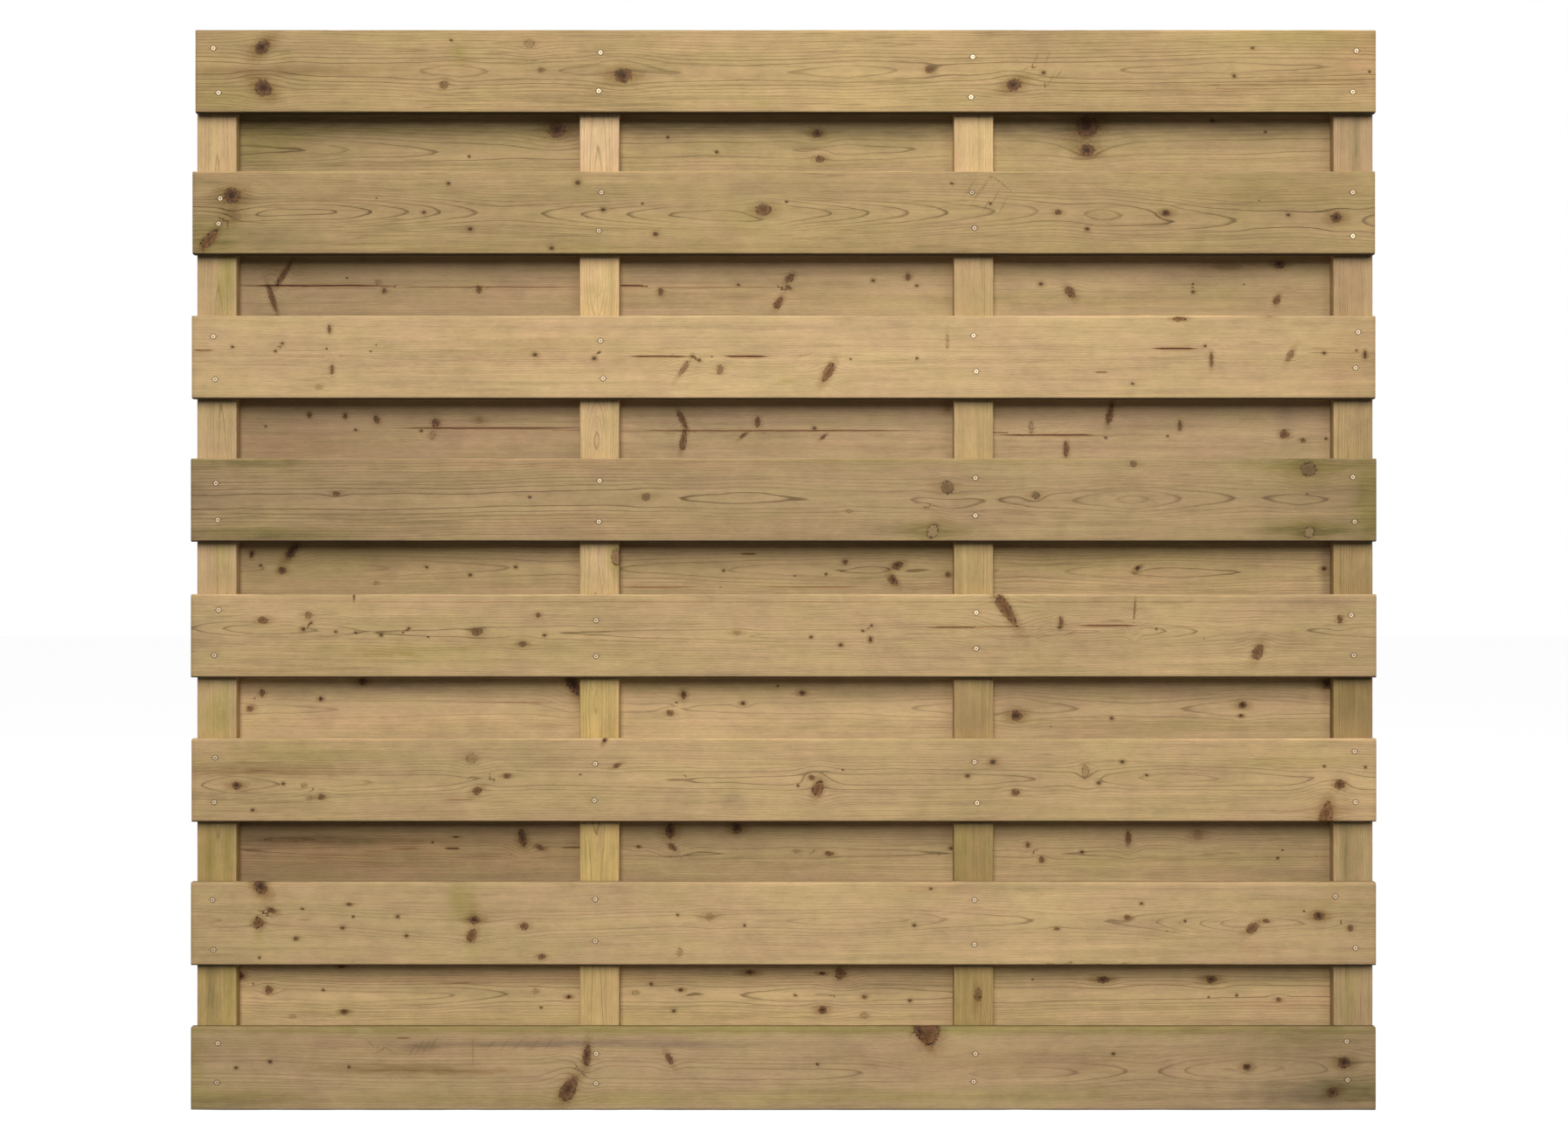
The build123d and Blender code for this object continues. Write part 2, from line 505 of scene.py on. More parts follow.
            (1136, 872, 8), (1284, 872, 6), (1257, 896, 6), (1312, 887, 4), (1515, 877, 4),
            (1562, 878, 4), (964, 881, 3),
        ],
        "cracks": [(508, 545, 915, 0.6)],
        "stains": [
            (1520, 930, 20, 14, "brown", 1.0), (330, 862, 90, 12, "green", 0.5),
            (836, 915, 18, 12, "grey", 0.6), (780, 915, 22, 12, "grey", 0.4),
            (1480, 872, 60, 6, "green", 0.5), (300, 882, 80, 7, "brown", 1.0),
        ],
    },
    "front_board_7": {
        "spacing": 3.4, "contrast": 0.7, "blue": 1.06, "edgeHighlight": -0.1,
        "rings": [
            (219, 4.4), (255, 4.95), (300, 5.4), (345, 4.9), (420, 5.3), (505, 4.95), (543, 4.6),
            (560, 4.95), (640, 5.4), (800, 5.2), (980, 4.6), (1045, 4.95), (1081, 5.95), (1150, 6.6),
            (1230, 7.3), (1270, 6.95), (1326, 5.95), (1416, 1.95), (1430, 1.6), (1480, 2.6), (1573, 3.6),
        ],
        "centre": [(219, 6), (340, 6), (543, -6), (760, 4), (1060, 6), (1300, 4), (1430, 0), (1573, 6)],
        "light": [(280, 1.08), (600, 1.10), (900, 1.22), (1200, 1.25), (1573, 1.07)],
        "knots": [
            (1204, 1104, 14, 3, -15, "grey"), (1221, 1103, 12, 3, 20, "grey"),
            (1262, 1105, 12, 3, -10, "grey"), (1284, 1104, 10, 3, 15, "grey"),
            (298, 1015, 19, 14, -50, "dark"), (311, 1042, 11, 6, -20, "deep"),
            (296, 1056, 12, 12, 0, "red"), (400, 1035, 7, 4, 0, "brown"), (339, 1074, 6, 5, 0, "brown"),
            (543, 1053, 13, 9, 0, "dark"), (540, 1070, 15, 11, 60, "red"), (600, 1060, 10, 9, 0, "brown"),
            (620, 1095, 9, 7, 0, "brown"), (812, 1049, 12, 10, 0, "smudge"),
            (778, 1090, 6, 9, 0, "faint"), (1290, 1050, 8, 6, 0, "brown"),
            (1433, 1062, 16, 10, 40, "brown"), (1449, 1054, 8, 5, 0, "brown"),
            (1509, 1048, 12, 11, 0, "dark"), (1545, 1062, 6, 7, 0, "brown"),
            (1209, 1063, 6, 4, 0, "brown"),
        ],
        "pins": [
            (346, 1040, 4), (404, 1049, 4), (392, 1062, 5), (455, 1049, 5), (465, 1071, 5),
            (297, 1096, 4), (775, 1047, 4), (852, 1059, 4), (1046, 1059, 5), (1065, 1017, 4),
            (1306, 1034, 5), (1335, 1065, 3), (1356, 1054, 4), (1492, 1043, 3),
        ],
        "stains": [
            (524, 1030, 10, 24, "green", 0.9), (541, 1045, 6, 14, "brown", 0.7),
            (298, 1017, 22, 12, "brown", 0.5), (538, 1035, 7, 18, "green", 0.6),
            (541, 1090, 8, 12, "green", 0.5), (296, 1072, 5, 14, "green", 0.6),
            (296, 1030, 5, 8, "green", 0.5), (1080, 1018, 60, 4, "pink", 0.6),
            (1432, 1085, 18, 6, "pink", 0.6), (1150, 1015, 80, 6, "grey", 0.4),
            (1520, 1035, 60, 8, "green", 0.4),
        ],
    },
    "front_board_8": {
        "spacing": 3.8, "blue": 1.11, "edgeHighlight": -0.25,
        "contrast": [(219, 0.75), (1000, 0.75), (1060, 0.3), (1160, 0.3), (1220, 0.7), (1573, 0.75)],
        "rings": [
            (219, 5.3), (520, 5.2), (760, 5.4), (940, 5.5), (989, 5.95), (1080, 6.3), (1130, 5.6),
            (1200, 5.6), (1239, 5.95), (1291, 6.95), (1308, 7.2), (1327, 6.95), (1353, 5.95),
            (1395, 4.95), (1440, 4.5), (1573, 6.4),
        ],
        "centre": [(219, 2), (520, -4), (760, -6), (985, -8), (1240, -4), (1420, -2), (1573, 2)],
        "light": [(240, 0.92), (600, 1.02), (900, 1.05), (1200, 0.99), (1400, 0.93), (1573, 0.80)],
        "knots": [
            (671.5, 1207, 23, 9, 85, "deep"), (651, 1246, 31, 16, 60, "deep"),
            (766, 1212, 13, 7, -60, "brown"), (1062, 1183, 29, 26, -72, "red"),
            (1052, 1181, 22, 7, -57, "dark"), (1427, 1221, 9, 8, 0, "dark"),
            (1538, 1216, 14, 14, 0, "dark"), (1525, 1250, 14, 12, 20, "dark"),
        ],
        "scratches": [
            (425, 1195, 8, -45), (437, 1201, 8, 30), (446, 1202, 8, -30), (472, 1201, 8, 60),
            (480, 1199, 9, 60), (488, 1197, 9, 60), (496, 1195, 8, 60), (541, 1203, 14, 90),
            (562, 1195, 8, 45), (578, 1195, 8, 50), (594, 1194, 9, 45), (612, 1195, 9, 50),
            (628, 1195, 8, 50),
        ],
        "pins": [(309, 1215, 5), (270, 1222, 5), (399, 1221, 4), (935, 1218, 4), (1274, 1206, 5)],
        "cracks": [(400, 530, 1225, 0.35), (452, 470, 1188, 0.7)],
        "stains": [
            (460, 1224, 80, 5, "brown", 1.6), (540, 1227, 40, 3, "brown", 1.0),
            (250, 1262, 60, 8, "grey", 0.7), (1525, 1254, 60, 14, "grey", 0.9),
            (1500, 1184, 60, 10, "grey", 0.4), (485, 1198, 18, 4, "grey", 1.0),
            (596, 1195, 50, 3, "grey", 1.0), (560, 1178, 420, 5, "green", 1.2),
            (1250, 1178, 400, 5, "green", 1.2), (900, 1176, 700, 6, "grey", 0.35),
            (1535, 1235, 40, 30, "grey", 0.3), (260, 1256, 60, 9, "green", 1.0),
            (600, 1258, 300, 8, "green", 0.6), (1100, 1254, 300, 8, "green", 0.5),
            (600, 1194, 160, 4, "grey", 0.7), (780, 1194, 130, 5, "grey", 0.6),
            (480, 1200, 220, 14, "pink", 0.4), (1200, 1215, 250, 18, "pink", 0.4),
            (1490, 1190, 60, 10, "green", 0.6), (1550, 1250, 40, 14, "green", 0.8),
            (1480, 1250, 70, 10, "grey", 0.5), (225, 1220, 8, 40, "green", 0.6),
        ],
    },
    "back_board_1": {
        "spacing": 4.0, "blue": 1.07,
        "contrast": [(219, 1.0), (800, 0.9), (900, 0.6), (1050, 0.8), (1100, 0.5), (1573, 0.7)],
        "rings": [
            (219, 3.2), (351, 3.95), (398, 4.95), (505, 5.95), (600, 6.4), (860, 6.3), (902, 5.95),
            (960, 5.5), (1050, 5.95), (1100, 6.3), (1244, 6.4), (1400, 6.3), (1573, 6.5),
        ],
        "centre": [(219, -3), (351, -4), (505, -6), (760, -4), (1244, 0), (1573, 4)],
        "light": [(300, 0.71), (480, 0.9), (800, 0.96), (1300, 0.98), (1573, 0.91)],
        "knots": [
            (637.5, 149, 20, 18, 0, "dark"), (935, 153, 12, 10, 0, "dark"), (938, 182, 10, 8, 0, "brown"),
            (1244, 145, 26, 24, 20, "dark"), (1244, 172, 17, 15, 0, "dark"),
        ],
        "pins": [(537, 179, 4), (764, 157, 4), (820, 174, 5), (1387, 138, 5), (1448, 151, 4)],
        "stains": [
            # the first two grey stains are painted shade: the shadow of the front board above, along this
            # board's top
            (900, 136, 900, 17, "grey", 1.1), (1244, 143, 34, 16, "grey", 0.5),
            (430, 150, 220, 5, "green", 0.5), (300, 160, 50, 26, "green", 0.7),
            (900, 165, 900, 60, "green", 0.3),
        ],
    },
    "back_board_2": {
        "spacing": 3.2, "contrast": 0.6, "blue": 1.1,
        "rings": [(219, 1.1), (640, 0.4), (900, 1.1), (1573, 1.8)],
        "centre": [(219, 2), (640, 0), (900, 0), (1300, 3), (1573, 0)],
        "light": [(300, 0.72), (540, 0.85), (800, 0.9), (1050, 1.01), (1300, 0.95), (1573, 0.89)],
        "knots": [
            (325, 313, 30, 6, 58, "red"), (312, 343, 32, 6, -72, "red"), (548, 331, 7, 9, 0, "brown"),
            (440, 333, 5, 6, 0, "brown"), (756, 334, 6, 9, 0, "brown"), (904, 318, 12, 8, 40, "red"),
            (902, 329, 8, 5, -30, "brown"), (891, 346, 16, 8, 60, "red"), (1039, 317, 6, 9, 0, "brown"),
            (1225, 335, 15, 9, -50, "red"), (1461, 343, 11, 7, 65, "red"), (1464, 303, 12, 9, 0, "dark"),
            (433, 323, 6, 5, 0, "faint"), (1404, 305, 40, 10, 0, "smudge"),
        ],
        "pins": [
            (397, 318, 3), (845, 326, 4), (999, 321, 5), (1049, 327, 4), (1191, 325, 6), (1365, 325, 3),
            (1365, 334, 5), (1423, 325, 3),
        ],
        "cracks": [
            (265, 452, 327, 1.5), (452, 668, 328.5, 0.6), (707, 740, 327, 1.5), (740, 900, 329, 0.5),
        ],
        "stains": [
            (322, 306, 40, 10, "brown", 0.8), (750, 335, 300, 14, "pink", 0.3),
            (1100, 345, 300, 10, "green", 0.3), (1400, 340, 120, 14, "green", 0.35),
        ],
    },
    "back_board_3": {
        "spacing": 3.2, "contrast": 0.6, "blue": 1.13,
        "rings": [(219, 1.8), (640, 0.4), (900, 0.4), (1200, 0.7), (1573, 1.4)],
        "centre": [(219, 4), (640, 0), (900, -2), (1150, -6), (1573, -8)],
        "light": [(300, 0.73), (540, 0.85), (900, 0.89), (1050, 0.97), (1400, 0.95), (1573, 0.91)],
        "knots": [
            (354, 475, 5, 7, 0, "brown"), (395, 476, 5, 7, 0, "brown"), (431, 480, 6, 10, 20, "brown"),
            (499, 484, 9, 9, 0, "red"), (495, 498, 7, 9, 0, "faint"), (549, 481, 9, 9, 0, "smudge"),
            (781, 481, 22, 6, -65, "red"), (782, 503, 24, 7, 80, "red"), (867, 483, 6, 12, 0, "brown"),
            (851, 498, 10, 4, 40, "brown"), (942, 500, 8, 4, 40, "brown"), (1270, 473, 24, 7, 78, "red"),
            (1350, 487, 5, 12, 0, "brown"), (1180, 489, 5, 14, 0, "faint"), (1220, 514, 6, 17, 0, "red"),
            (1470, 497, 11, 9, 0, "red"), (1491, 504, 6, 5, 0, "brown"), (1084, 467, 10, 12, 0, "smudge"),
        ],
        "pins": [
            (304, 488, 3), (407, 492, 4), (482, 493, 4), (932, 490, 5), (1265, 501, 4), (1517, 502, 4),
            (1336, 499, 3),
        ],
        "cracks": [(445, 668, 490, 1.1), (705, 1062, 493, 1.0), (1135, 1262, 498, 1.3)],
        "stains": [
            (340, 510, 90, 30, "pink", 0.6), (560, 500, 90, 30, "pink", 0.3),
            (1470, 480, 8, 22, "grey", 0.5), (1000, 510, 200, 10, "pink", 0.2),
        ],
    },
    "back_board_4": {
        "spacing": 3.8, "blue": 1.05,
        "contrast": [(219, 0.5), (640, 0.7), (760, 0.9), (1573, 0.9)],
        "rings": [(219, 3.2), (640, 6.4), (900, 4.4), (1020, 3.4), (1180, 5.4), (1340, 3.3), (1573, 5.2)],
        "centre": [(219, 3), (640, 3), (900, 0), (1100, 0), (1340, -4), (1573, -3)],
        "light": [(300, 0.82), (540, 0.91), (900, 0.91), (1100, 0.88), (1250, 1.03), (1573, 0.95)],
        "knots": [
            (334, 631, 20, 10, 55, "dark"), (323, 653, 9, 8, 0, "deep"), (967, 643, 6, 6, 0, "brown"),
            (1027, 647, 13, 9, 20, "deep"), (1022, 664, 13, 9, -50, "deep"), (1085, 658, 6, 6, 0, "red"),
            (1302, 650, 7, 5, 30, "dark"), (1515, 651, 6, 6, 0, "dark"), (431, 667, 6, 5, 0, "faint"),
            (288, 634, 4, 9, -20, "dark"),
        ],
        "pins": [
            (298, 647, 4), (488, 649, 4), (538, 658, 5), (590, 649, 5), (828, 653, 4), (910, 659, 3),
            (945, 657, 4),
        ],
        "cracks": [(846, 866, 634, 1.2), (705, 800, 672, 0.7), (860, 990, 672, 0.6)],
        "stains": [
            # the first grey stain is painted shadow of the front board above; the second is painted shade
            # beside the right batten
            (900, 614, 900, 11, "grey", 0.9), (1519, 650, 8, 40, "grey", 1.1),
            (400, 640, 120, 20, "green", 0.4), (1250, 640, 200, 20, "green", 0.35),
        ],
    },
    "back_board_5": {
        "spacing": 3.8, "blue": 1.09,
        "contrast": [(219, 0.5), (1000, 0.5), (1150, 0.8), (1573, 0.8)],
        "rings": [
            (219, 5.3), (500, 6.3), (800, 6.8), (1000, 6.3), (1163, 4.9), (1235, 5.95), (1290, 6.4),
            (1351, 5.95), (1423, 4.9), (1573, 5.8),
        ],
        "centre": [(219, 2), (700, 4), (1140, 4), (1318, 2), (1460, 4), (1573, 6)],
        "light": [(260, 1.17), (540, 1.14), (800, 1.21), (1080, 1.15), (1180, 1.03), (1573, 1.0)],
        "knots": [
            (415, 780, 9, 9, 0, "dark"), (300, 793, 6, 8, 0, "brown"), (286, 811, 8, 7, 0, "brown"),
            (367, 800, 5, 5, 0, "dark"), (782, 795, 6, 10, 0, "dark"), (767, 816, 8, 7, 0, "brown"),
            (850, 805, 5, 5, 0, "dark"), (918, 793, 7, 6, 0, "dark"), (1163, 819, 14, 13, 0, "dark"),
            (1422, 807, 10, 8, 0, "dark"), (1420, 819, 5, 4, 0, "dark"), (1519, 783, 14, 12, 0, "dark"),
            # the last dark knot is painted shade, in the hollow where this board's corner is missing
            # beside the middle left batten
            (656, 784, 30, 13, -60, "dark"),
        ],
        "pins": [(292, 799, 3), (890, 785, 3), (774, 804, 3), (1272, 822, 5), (1203, 832, 3)],
        "cracks": [(545, 640, 804, 0.4)],
        "stains": [
            (440, 784, 90, 8, "grey", 0.6), (850, 786, 200, 8, "green", 0.4),
            (1300, 830, 200, 8, "green", 0.3), (500, 825, 200, 10, "pink", 0.3),
        ],
    },
    "back_board_6": {
        "spacing": 3.6, "contrast": 0.8, "blue": 1.05,
        "rings": [(219, 3.3), (520, 1.3), (770, 2.7), (1100, 4), (1370, 1.7), (1573, 2.7)],
        "centre": [(219, 3), (520, 0), (770, -2), (1100, -3), (1370, -3), (1573, -2)],
        "light": [
            (270, 0.645), (480, 0.72), (640, 0.795), (800, 0.89), (1050, 1.0), (1200, 1.075),
            (1573, 0.78),
        ],
        "knots": [
            (598, 959, 9, 20, 10, "deep"), (618, 970, 10, 6, -20, "brown"), (767, 951, 11, 18, 0, "dark"),
            (843, 948, 12, 13, 0, "dark"), (770, 970, 11, 6, -35, "red"), (731, 969, 5, 4, 0, "red"),
            (949, 977, 10, 5, 0, "red"), (912, 974, 9, 4, 0, "faint"), (1291, 959, 6, 15, 0, "red"),
            (1176, 967, 5, 6, 0, "brown"), (1192, 984, 6, 8, 0, "brown"),
            (1371, 955, 13, 14, 0, "smudge"), (330, 961, 60, 5, 0, "faint"), (522, 958, 7, 2, 0, "dark"),
        ],
        "pins": [
            (495, 964, 3), (780, 983, 3), (1088, 971, 5), (1074, 977, 3), (1238, 975, 5), (1468, 973, 3),
            (1462, 982, 4), (1506, 979, 3),
        ],
        "cracks": [(508, 527, 971, 1.4), (445, 480, 971, 0.6), (640, 668, 970, 1.0)],
        "stains": [
            (415, 963, 95, 4, "brown", 1.2), (380, 975, 140, 30, "pink", 0.9),
            (600, 975, 90, 24, "pink", 0.5), (350, 960, 70, 7, "grey", 0.6),
            (1250, 985, 250, 10, "green", 0.3),
        ],
    },
    "back_board_7": {
        "spacing": 3.6, "contrast": 1.05, "blue": 1.05,
        "rings": [
            (219, 4.6), (400, 4.3), (523, 4.95), (579, 5.95), (640, 6.3), (769, 5.95), (784, 5.8),
            (799, 5.95), (823, 6.1), (847, 5.95), (926, 4.95), (945, 4.7), (963, 4.95), (1140, 6.1),
            (1350, 6.2), (1573, 6.6),
        ],
        "centre": [(219, 0), (400, -6), (640, -4), (780, -2), (960, -6), (1350, 0), (1573, 2)],
        "light": [(300, 1.21), (600, 1.21), (900, 1.31), (1050, 1.18), (1300, 1.19), (1573, 1.1)],
        "knots": [
            (276, 1117, 7, 9, 0, "dark"), (308, 1133, 9, 9, 0, "red"), (335, 1163, 8, 4, 0, "faint"),
            (394, 1158, 8, 6, 0, "dark"), (391, 1106, 8, 4, 0, "dark"), (613, 1134, 6, 6, 0, "faint"),
            (651, 1141, 6, 5, 0, "dark"), (858, 1113, 13, 6, 0, "dark"), (941, 1114, 8, 4, 0, "dark"),
            (962, 1114, 12, 13, 0, "red"), (727, 1136, 9, 5, 0, "faint"), (779, 1133, 6, 5, 0, "dark"),
            (941, 1156, 10, 9, 0, "dark"), (989, 1141, 6, 5, 0, "brown"), (989, 1162, 9, 7, 0, "faint"),
            (1262, 1121, 15, 8, 0, "dark"), (1386, 1121, 13, 9, 0, "dark"),
            (1463, 1144, 6, 5, 0, "brown"),
        ],
        "pins": [
            (370, 1133, 4), (619, 1153, 4), (745, 1126, 5), (771, 1157, 5), (910, 1139, 4),
            (1041, 1145, 5), (1415, 1139, 4), (1383, 1141, 3), (1181, 1121, 3),
        ],
        "cracks": [(513, 540, 1125, 0.5)],
        "stains": [
            (640, 1120, 300, 5, "pink", 0.5), (1000, 1130, 200, 5, "grey", 0.3),
            (1460, 1148, 60, 6, "pink", 0.5), (700, 1165, 300, 8, "green", 0.35),
        ],
    },
}

# The battens, with every place along them in pixels down the photograph
wood |= {
    "batten_left": {
        "spacing": 3.0, "contrast": 0.45,
        "rings": [(30, 10), (600, 6), (1100, 8.7), (1270, 7.3)],
        "centre": [(30, 4), (600, -10), (1270, 6)],
        "light": [
            (160, 1.17), (330, 1.02), (500, 1.1), (800, 1.1), (970, 0.88), (1140, 1.01), (1270, 0.98),
        ],
        "blue": [(160, 1.05), (640, 1.11), (800, 1.07), (1000, 0.83), (1270, 0.88)],
        "stains": [
            (252, 400, 26, 130, "green", 0.3), (258, 320, 8, 40, "green", 0.9),
            (252, 640, 8, 40, "green", 0.8), (240, 820, 9, 40, "green", 0.7),
            (255, 815, 9, 40, "green", 0.7), (243, 1140, 6, 40, "blue", 0.9),
            (240, 970, 7, 40, "green", 0.9), (260, 970, 6, 40, "green", 0.6),
            (262, 1140, 8, 40, "green", 0.6),
        ],
    },
    "batten_mid_left": {
        "spacing": 3.2, "contrast": 0.7,
        "rings": [
            (30, 7.6), (320, 4.1), (420, 8.2), (500, 3.5), (640, 7.6), (800, 4.7), (1000, 7.6),
            (1270, 5.3),
        ],
        "centre": [(30, 0), (640, 6), (1270, 4)],
        "light": [
            (160, 1.4), (330, 1.35), (500, 1.25), (650, 1.27), (800, 1.2), (970, 1.22), (1140, 1.3),
            (1270, 1.22),
        ],
        "blue": [(160, 1.16), (330, 0.99), (640, 1.09), (800, 0.84), (1000, 0.82), (1270, 0.97)],
        "knots": [(705, 638, 20, 12, 90, "olive")],
        "stains": [
            (704, 640, 9, 14, "green", 1.0), (667, 800, 8, 300, "yellow", 0.7),
            (700, 400, 6, 300, "yellow", 0.5),
        ],
    },
    "batten_mid_right": {
        "spacing": 2.6, "contrast": 0.7,
        "rings": [(30, 3.8), (640, 5.4), (1270, 3)],
        "centre": [(30, -34), (640, -26), (1270, -30)],
        "light": [
            (160, 1.35), (330, 1.05), (500, 1.05), (650, 1.01), (800, 0.88), (1000, 0.78), (1140, 0.9),
            (1270, 0.92),
        ],
        "blue": [(160, 1.03), (640, 0.95), (1270, 0.78)],
        "knots": [(1119, 1138, 16, 9, 90, "tan")],
        "pins": [(1121, 1141, 4)],
        "stains": [(1100, 970, 8, 60, "green", 0.5)],
    },
    "batten_right": {
        "spacing": 2.6, "contrast": 0.85,
        "rings": [(30, 3.8), (640, 6.2), (1270, 3)],
        "centre": [(30, 30), (640, 26), (1270, 34)],
        "light": [
            (160, 0.95), (330, 0.97), (500, 0.95), (650, 0.83), (800, 0.63), (970, 1.03), (1140, 0.95),
            (1270, 0.9),
        ],
        "blue": [(160, 1.13), (480, 0.99), (800, 0.84), (1000, 1.09), (1270, 1.05)],
        "stains": [
            (1552, 165, 3, 30, "blue", 1.0), (1540, 970, 6, 50, "blue", 0.7),
            (1545, 1140, 8, 40, "green", 0.6), (1545, 970, 26, 60, "green", 0.25),
            (1545, 170, 26, 70, "pink", 0.25), (1545, 330, 26, 60, "pink", 0.15),
        ],
    },
}

# How green, how grey and how pink a stain of full strength is
stainKinds = {
    "green": (1.0, 0.0, 0.0),
    "grey": (0.0, 1.0, 0.0),
    "pink": (0.0, 0.0, 1.0),
    "yellow": (0.35, 0.0, -0.4),
    "blue": (0.3, 1.0, -0.9),
    "brown": (0.4, 0.5, 0.9),
}

# How the wood grew and wore, in millimetres unless a comment says otherwise
growth = {
    "cornerRounding": 12,  # to either side of where a value changes along the piece
    "pithWander": (2.0, 520, 300),  # how far the pith wanders, and the lengths of its swells
    "ringWave": (0.08, 130, 70),  # how uneven the rings are, in rings
    "stainWave": (0.35, 90, 30),  # how ragged a stain's edge is, as a share
    "leastKnot": 2.5,  # a smaller knot bends the grain as this one does
    "bendReach": (3.4, 2.4),  # how far a knot bends the grain, in its own sizes
    "bend": 0.75,  # how much of the way the grain gives way to it
    "bulge": 0.5,  # how many rings it lifts the grain
    "bulgeKnot": 6,  # a knot of this size or more lifts it the whole way
    "spread": 28,  # how far from the pith the rings stay clear
    "faintest": 0.6,  # how clear they are beyond it, as a share
    "ringShift": 0.05,  # in rings
    "slopeStep": 4.0,  # how far to either side the rise of the rings is measured
    "slopeWeight": 8.0,  # how much that broadens the late lines
    "steepness": (0.12, 0.34),  # the least and the most that a rise along the piece adds
    "highlightEdge": (1.9, 1.2),  # how far from a board's upper edge the painted highlight starts, and its fade
    "shadedEdge": (2.6, 1.4),  # the same for the painted shade at its lower edge
    "lapDepth": 4,  # the painted shade in a lap reaches this far round the arris
    "frontLap": 17,  # how broad it is on a front board's back
    "backLap": 11,  # and on a back board's front
    "lapFade": 3,
    "scratchWidth": 2,  # pixels of the photograph
    "crackBand": 6,  # pixels of the photograph, the strip that a crack is drawn in
    "pinShape": 0.8,  # a pin knot's height as a share of its length
    "knotRoom": 3.0,  # knots closer than this, in their sizes, go into different layers
}

# How far out a spot still shows, in its own sizes, and for a screw in millimetres
spotLimits = {"knot": 4.2, "pin": 3.2, "crack": 1.6, "screw": 14.0}

# Screws at the front: for each board from the top down and each batten from the left, the
# upper and the lower screw, in pixels of the photograph
frontScrews = [
    [(244, 55), (250, 106), (687, 60), (685, 104),
     (1113, 65), (1111, 111), (1552, 58), (1548, 105)],
    [(252, 227), (250, 256), (688, 220), (685, 264),
     (1112, 220), (1115, 261), (1548, 220), (1548, 270)],
    [(244, 385), (246, 434), (687, 390), (690, 433),
     (1114, 384), (1117, 425), (1554, 380), (1551, 421)],
    [(247, 553), (249, 595), (686, 550), (685, 597),
     (1116, 547), (1116, 590), (1548, 546), (1550, 597)],
    [(250, 698), (245, 750), (682, 710), (682, 751),
     (1117, 701), (1117, 742), (1546, 704), (1549, 750)],
    [(246, 867), (245, 918), (681, 874), (680, 916),
     (1115, 872), (1118, 919), (1550, 860), (1551, 918)],
    [(243, 1030), (244, 1087), (681, 1029), (681, 1077),
     (1115, 1030), (1115, 1081), (1528, 1026), (1551, 1085)],
    [(249, 1194), (248, 1239), (682, 1206), (682, 1240),
     (1116, 1206), (1114, 1238), (1541, 1192), (1542, 1236)],
]
screw = {
    "headWidth": 7.2 * millimetre,
    "headSides": 16,
    "rimTaper": 0.9,  # how much narrower a head's flat top is than its rim
    "recessWidth": 2.4 * millimetre,
    "recessDepth": 0.7 * millimetre,
    "recessTaper": 0.7,
    "proud": 0.24 * millimetre,
    "sunk": 0.7 * millimetre,  # how deep a head's rim goes into the wood
    "tilt": 0.025,  # radians that a head leans at most
    "turn": 3.0,  # radians that its recess is turned at most
    # how bright the heads are, from the top board down and from the left batten to the right
    "rowShine": (1.14, 0.86, 0.92, 0.94, 0.96, 0.96, 0.94, 0.9),
    "columnShine": (0.88, 1.0, 1.05, 0.92),
    "ownShine": {2: 0.85, 10: 0.74, 11: 0.65, 12: 0.5, 13: 0.74, 15: 1.5, 18: 0.73, 21: 1.3,
                 34: 0.75, 36: 1.3},  # those that differ, by their number in frontScrews
    "edge": 26 * millimetre,  # the back screws' place from a board's long edges
    "scatter": 5 * millimetre,
    "seed": 11,
}


def passing(points, at):
    # goes through the points in straight stretches with their corners rounded
    places, values = np.array(points, float).T
    shifts = np.linspace(-1, 1, 5) * growth["cornerRounding"]
    near = [np.interp(at + shift, places, values) for shift in shifts]
    return np.mean(near, axis=0)


def swell(along, across, lengthwise, crosswise, seed):
    # a slow uneven swell between about -1 and 1, the same each run
    phases = np.random.default_rng(seed)
    total = np.zeros_like(along)
    for octave in (1.0, 1.7, 2.9):
        turn = phases.uniform(0, 6.28, 2)
        wave = np.sin(along * octave * 6.28 / lengthwise + turn[0])
        total += wave * np.sin(across * 6.28 * octave / crosswise + turn[1]) / octave
    return total * 0.6


def nearestSpot(along, across, spots, limit):
    # for each point its nearest spot's own coordinates, where the outline lies at 1, and its
    # look. The third coordinate is 1 further out than the limit, where no spot is drawn.
    best = np.full(len(along), 1e9)
    place = np.zeros((len(along), 3))
    look = np.zeros((len(along), 3))
    for centreAlong, centreAcross, halfLong, halfHigh, tilt, tone in spots:
        du, dv = along - centreAlong, across - centreAcross
        turned = (du * math.cos(tilt) + dv * math.sin(tilt)) / halfLong
        other = (dv * math.cos(tilt) - du * math.sin(tilt)) / halfHigh
        reach = np.hypot(turned, other)
        nearer = reach < best
        best = np.where(nearer, reach, best)
        place[nearer, :2] = np.stack([turned, other], 1)[nearer]
        look[nearer] = tone
    place[:, 2] = best > limit
    return place, look


def parted(spots):
    # shares spots out over two layers, so that close neighbours don't disturb each other
    layers = ([], [])
    for spot in sorted(spots, key=lambda one: -one[2] * one[3]):
        crowd = []
        for layer in layers:
            gaps = [math.hypot(spot[0] - other[0], spot[1] - other[1])
                    - growth["knotRoom"] * (max(spot[2:4]) + max(other[2:4]))
                    for other in layer]
            crowd.append(min(gaps, default=1e9))
        layers[0 if crowd[0] > 0 or crowd[0] >= crowd[1] else 1].append(spot)
    return layers


def store(mesh, name, values):
    kind = "FLOAT" if values.ndim == 1 else "FLOAT_VECTOR"
    attribute = mesh.attributes.new(name, kind, "POINT")
    field = "value" if values.ndim == 1 else "vector"
    attribute.data.foreach_set(field, values.astype(np.float32).ravel())


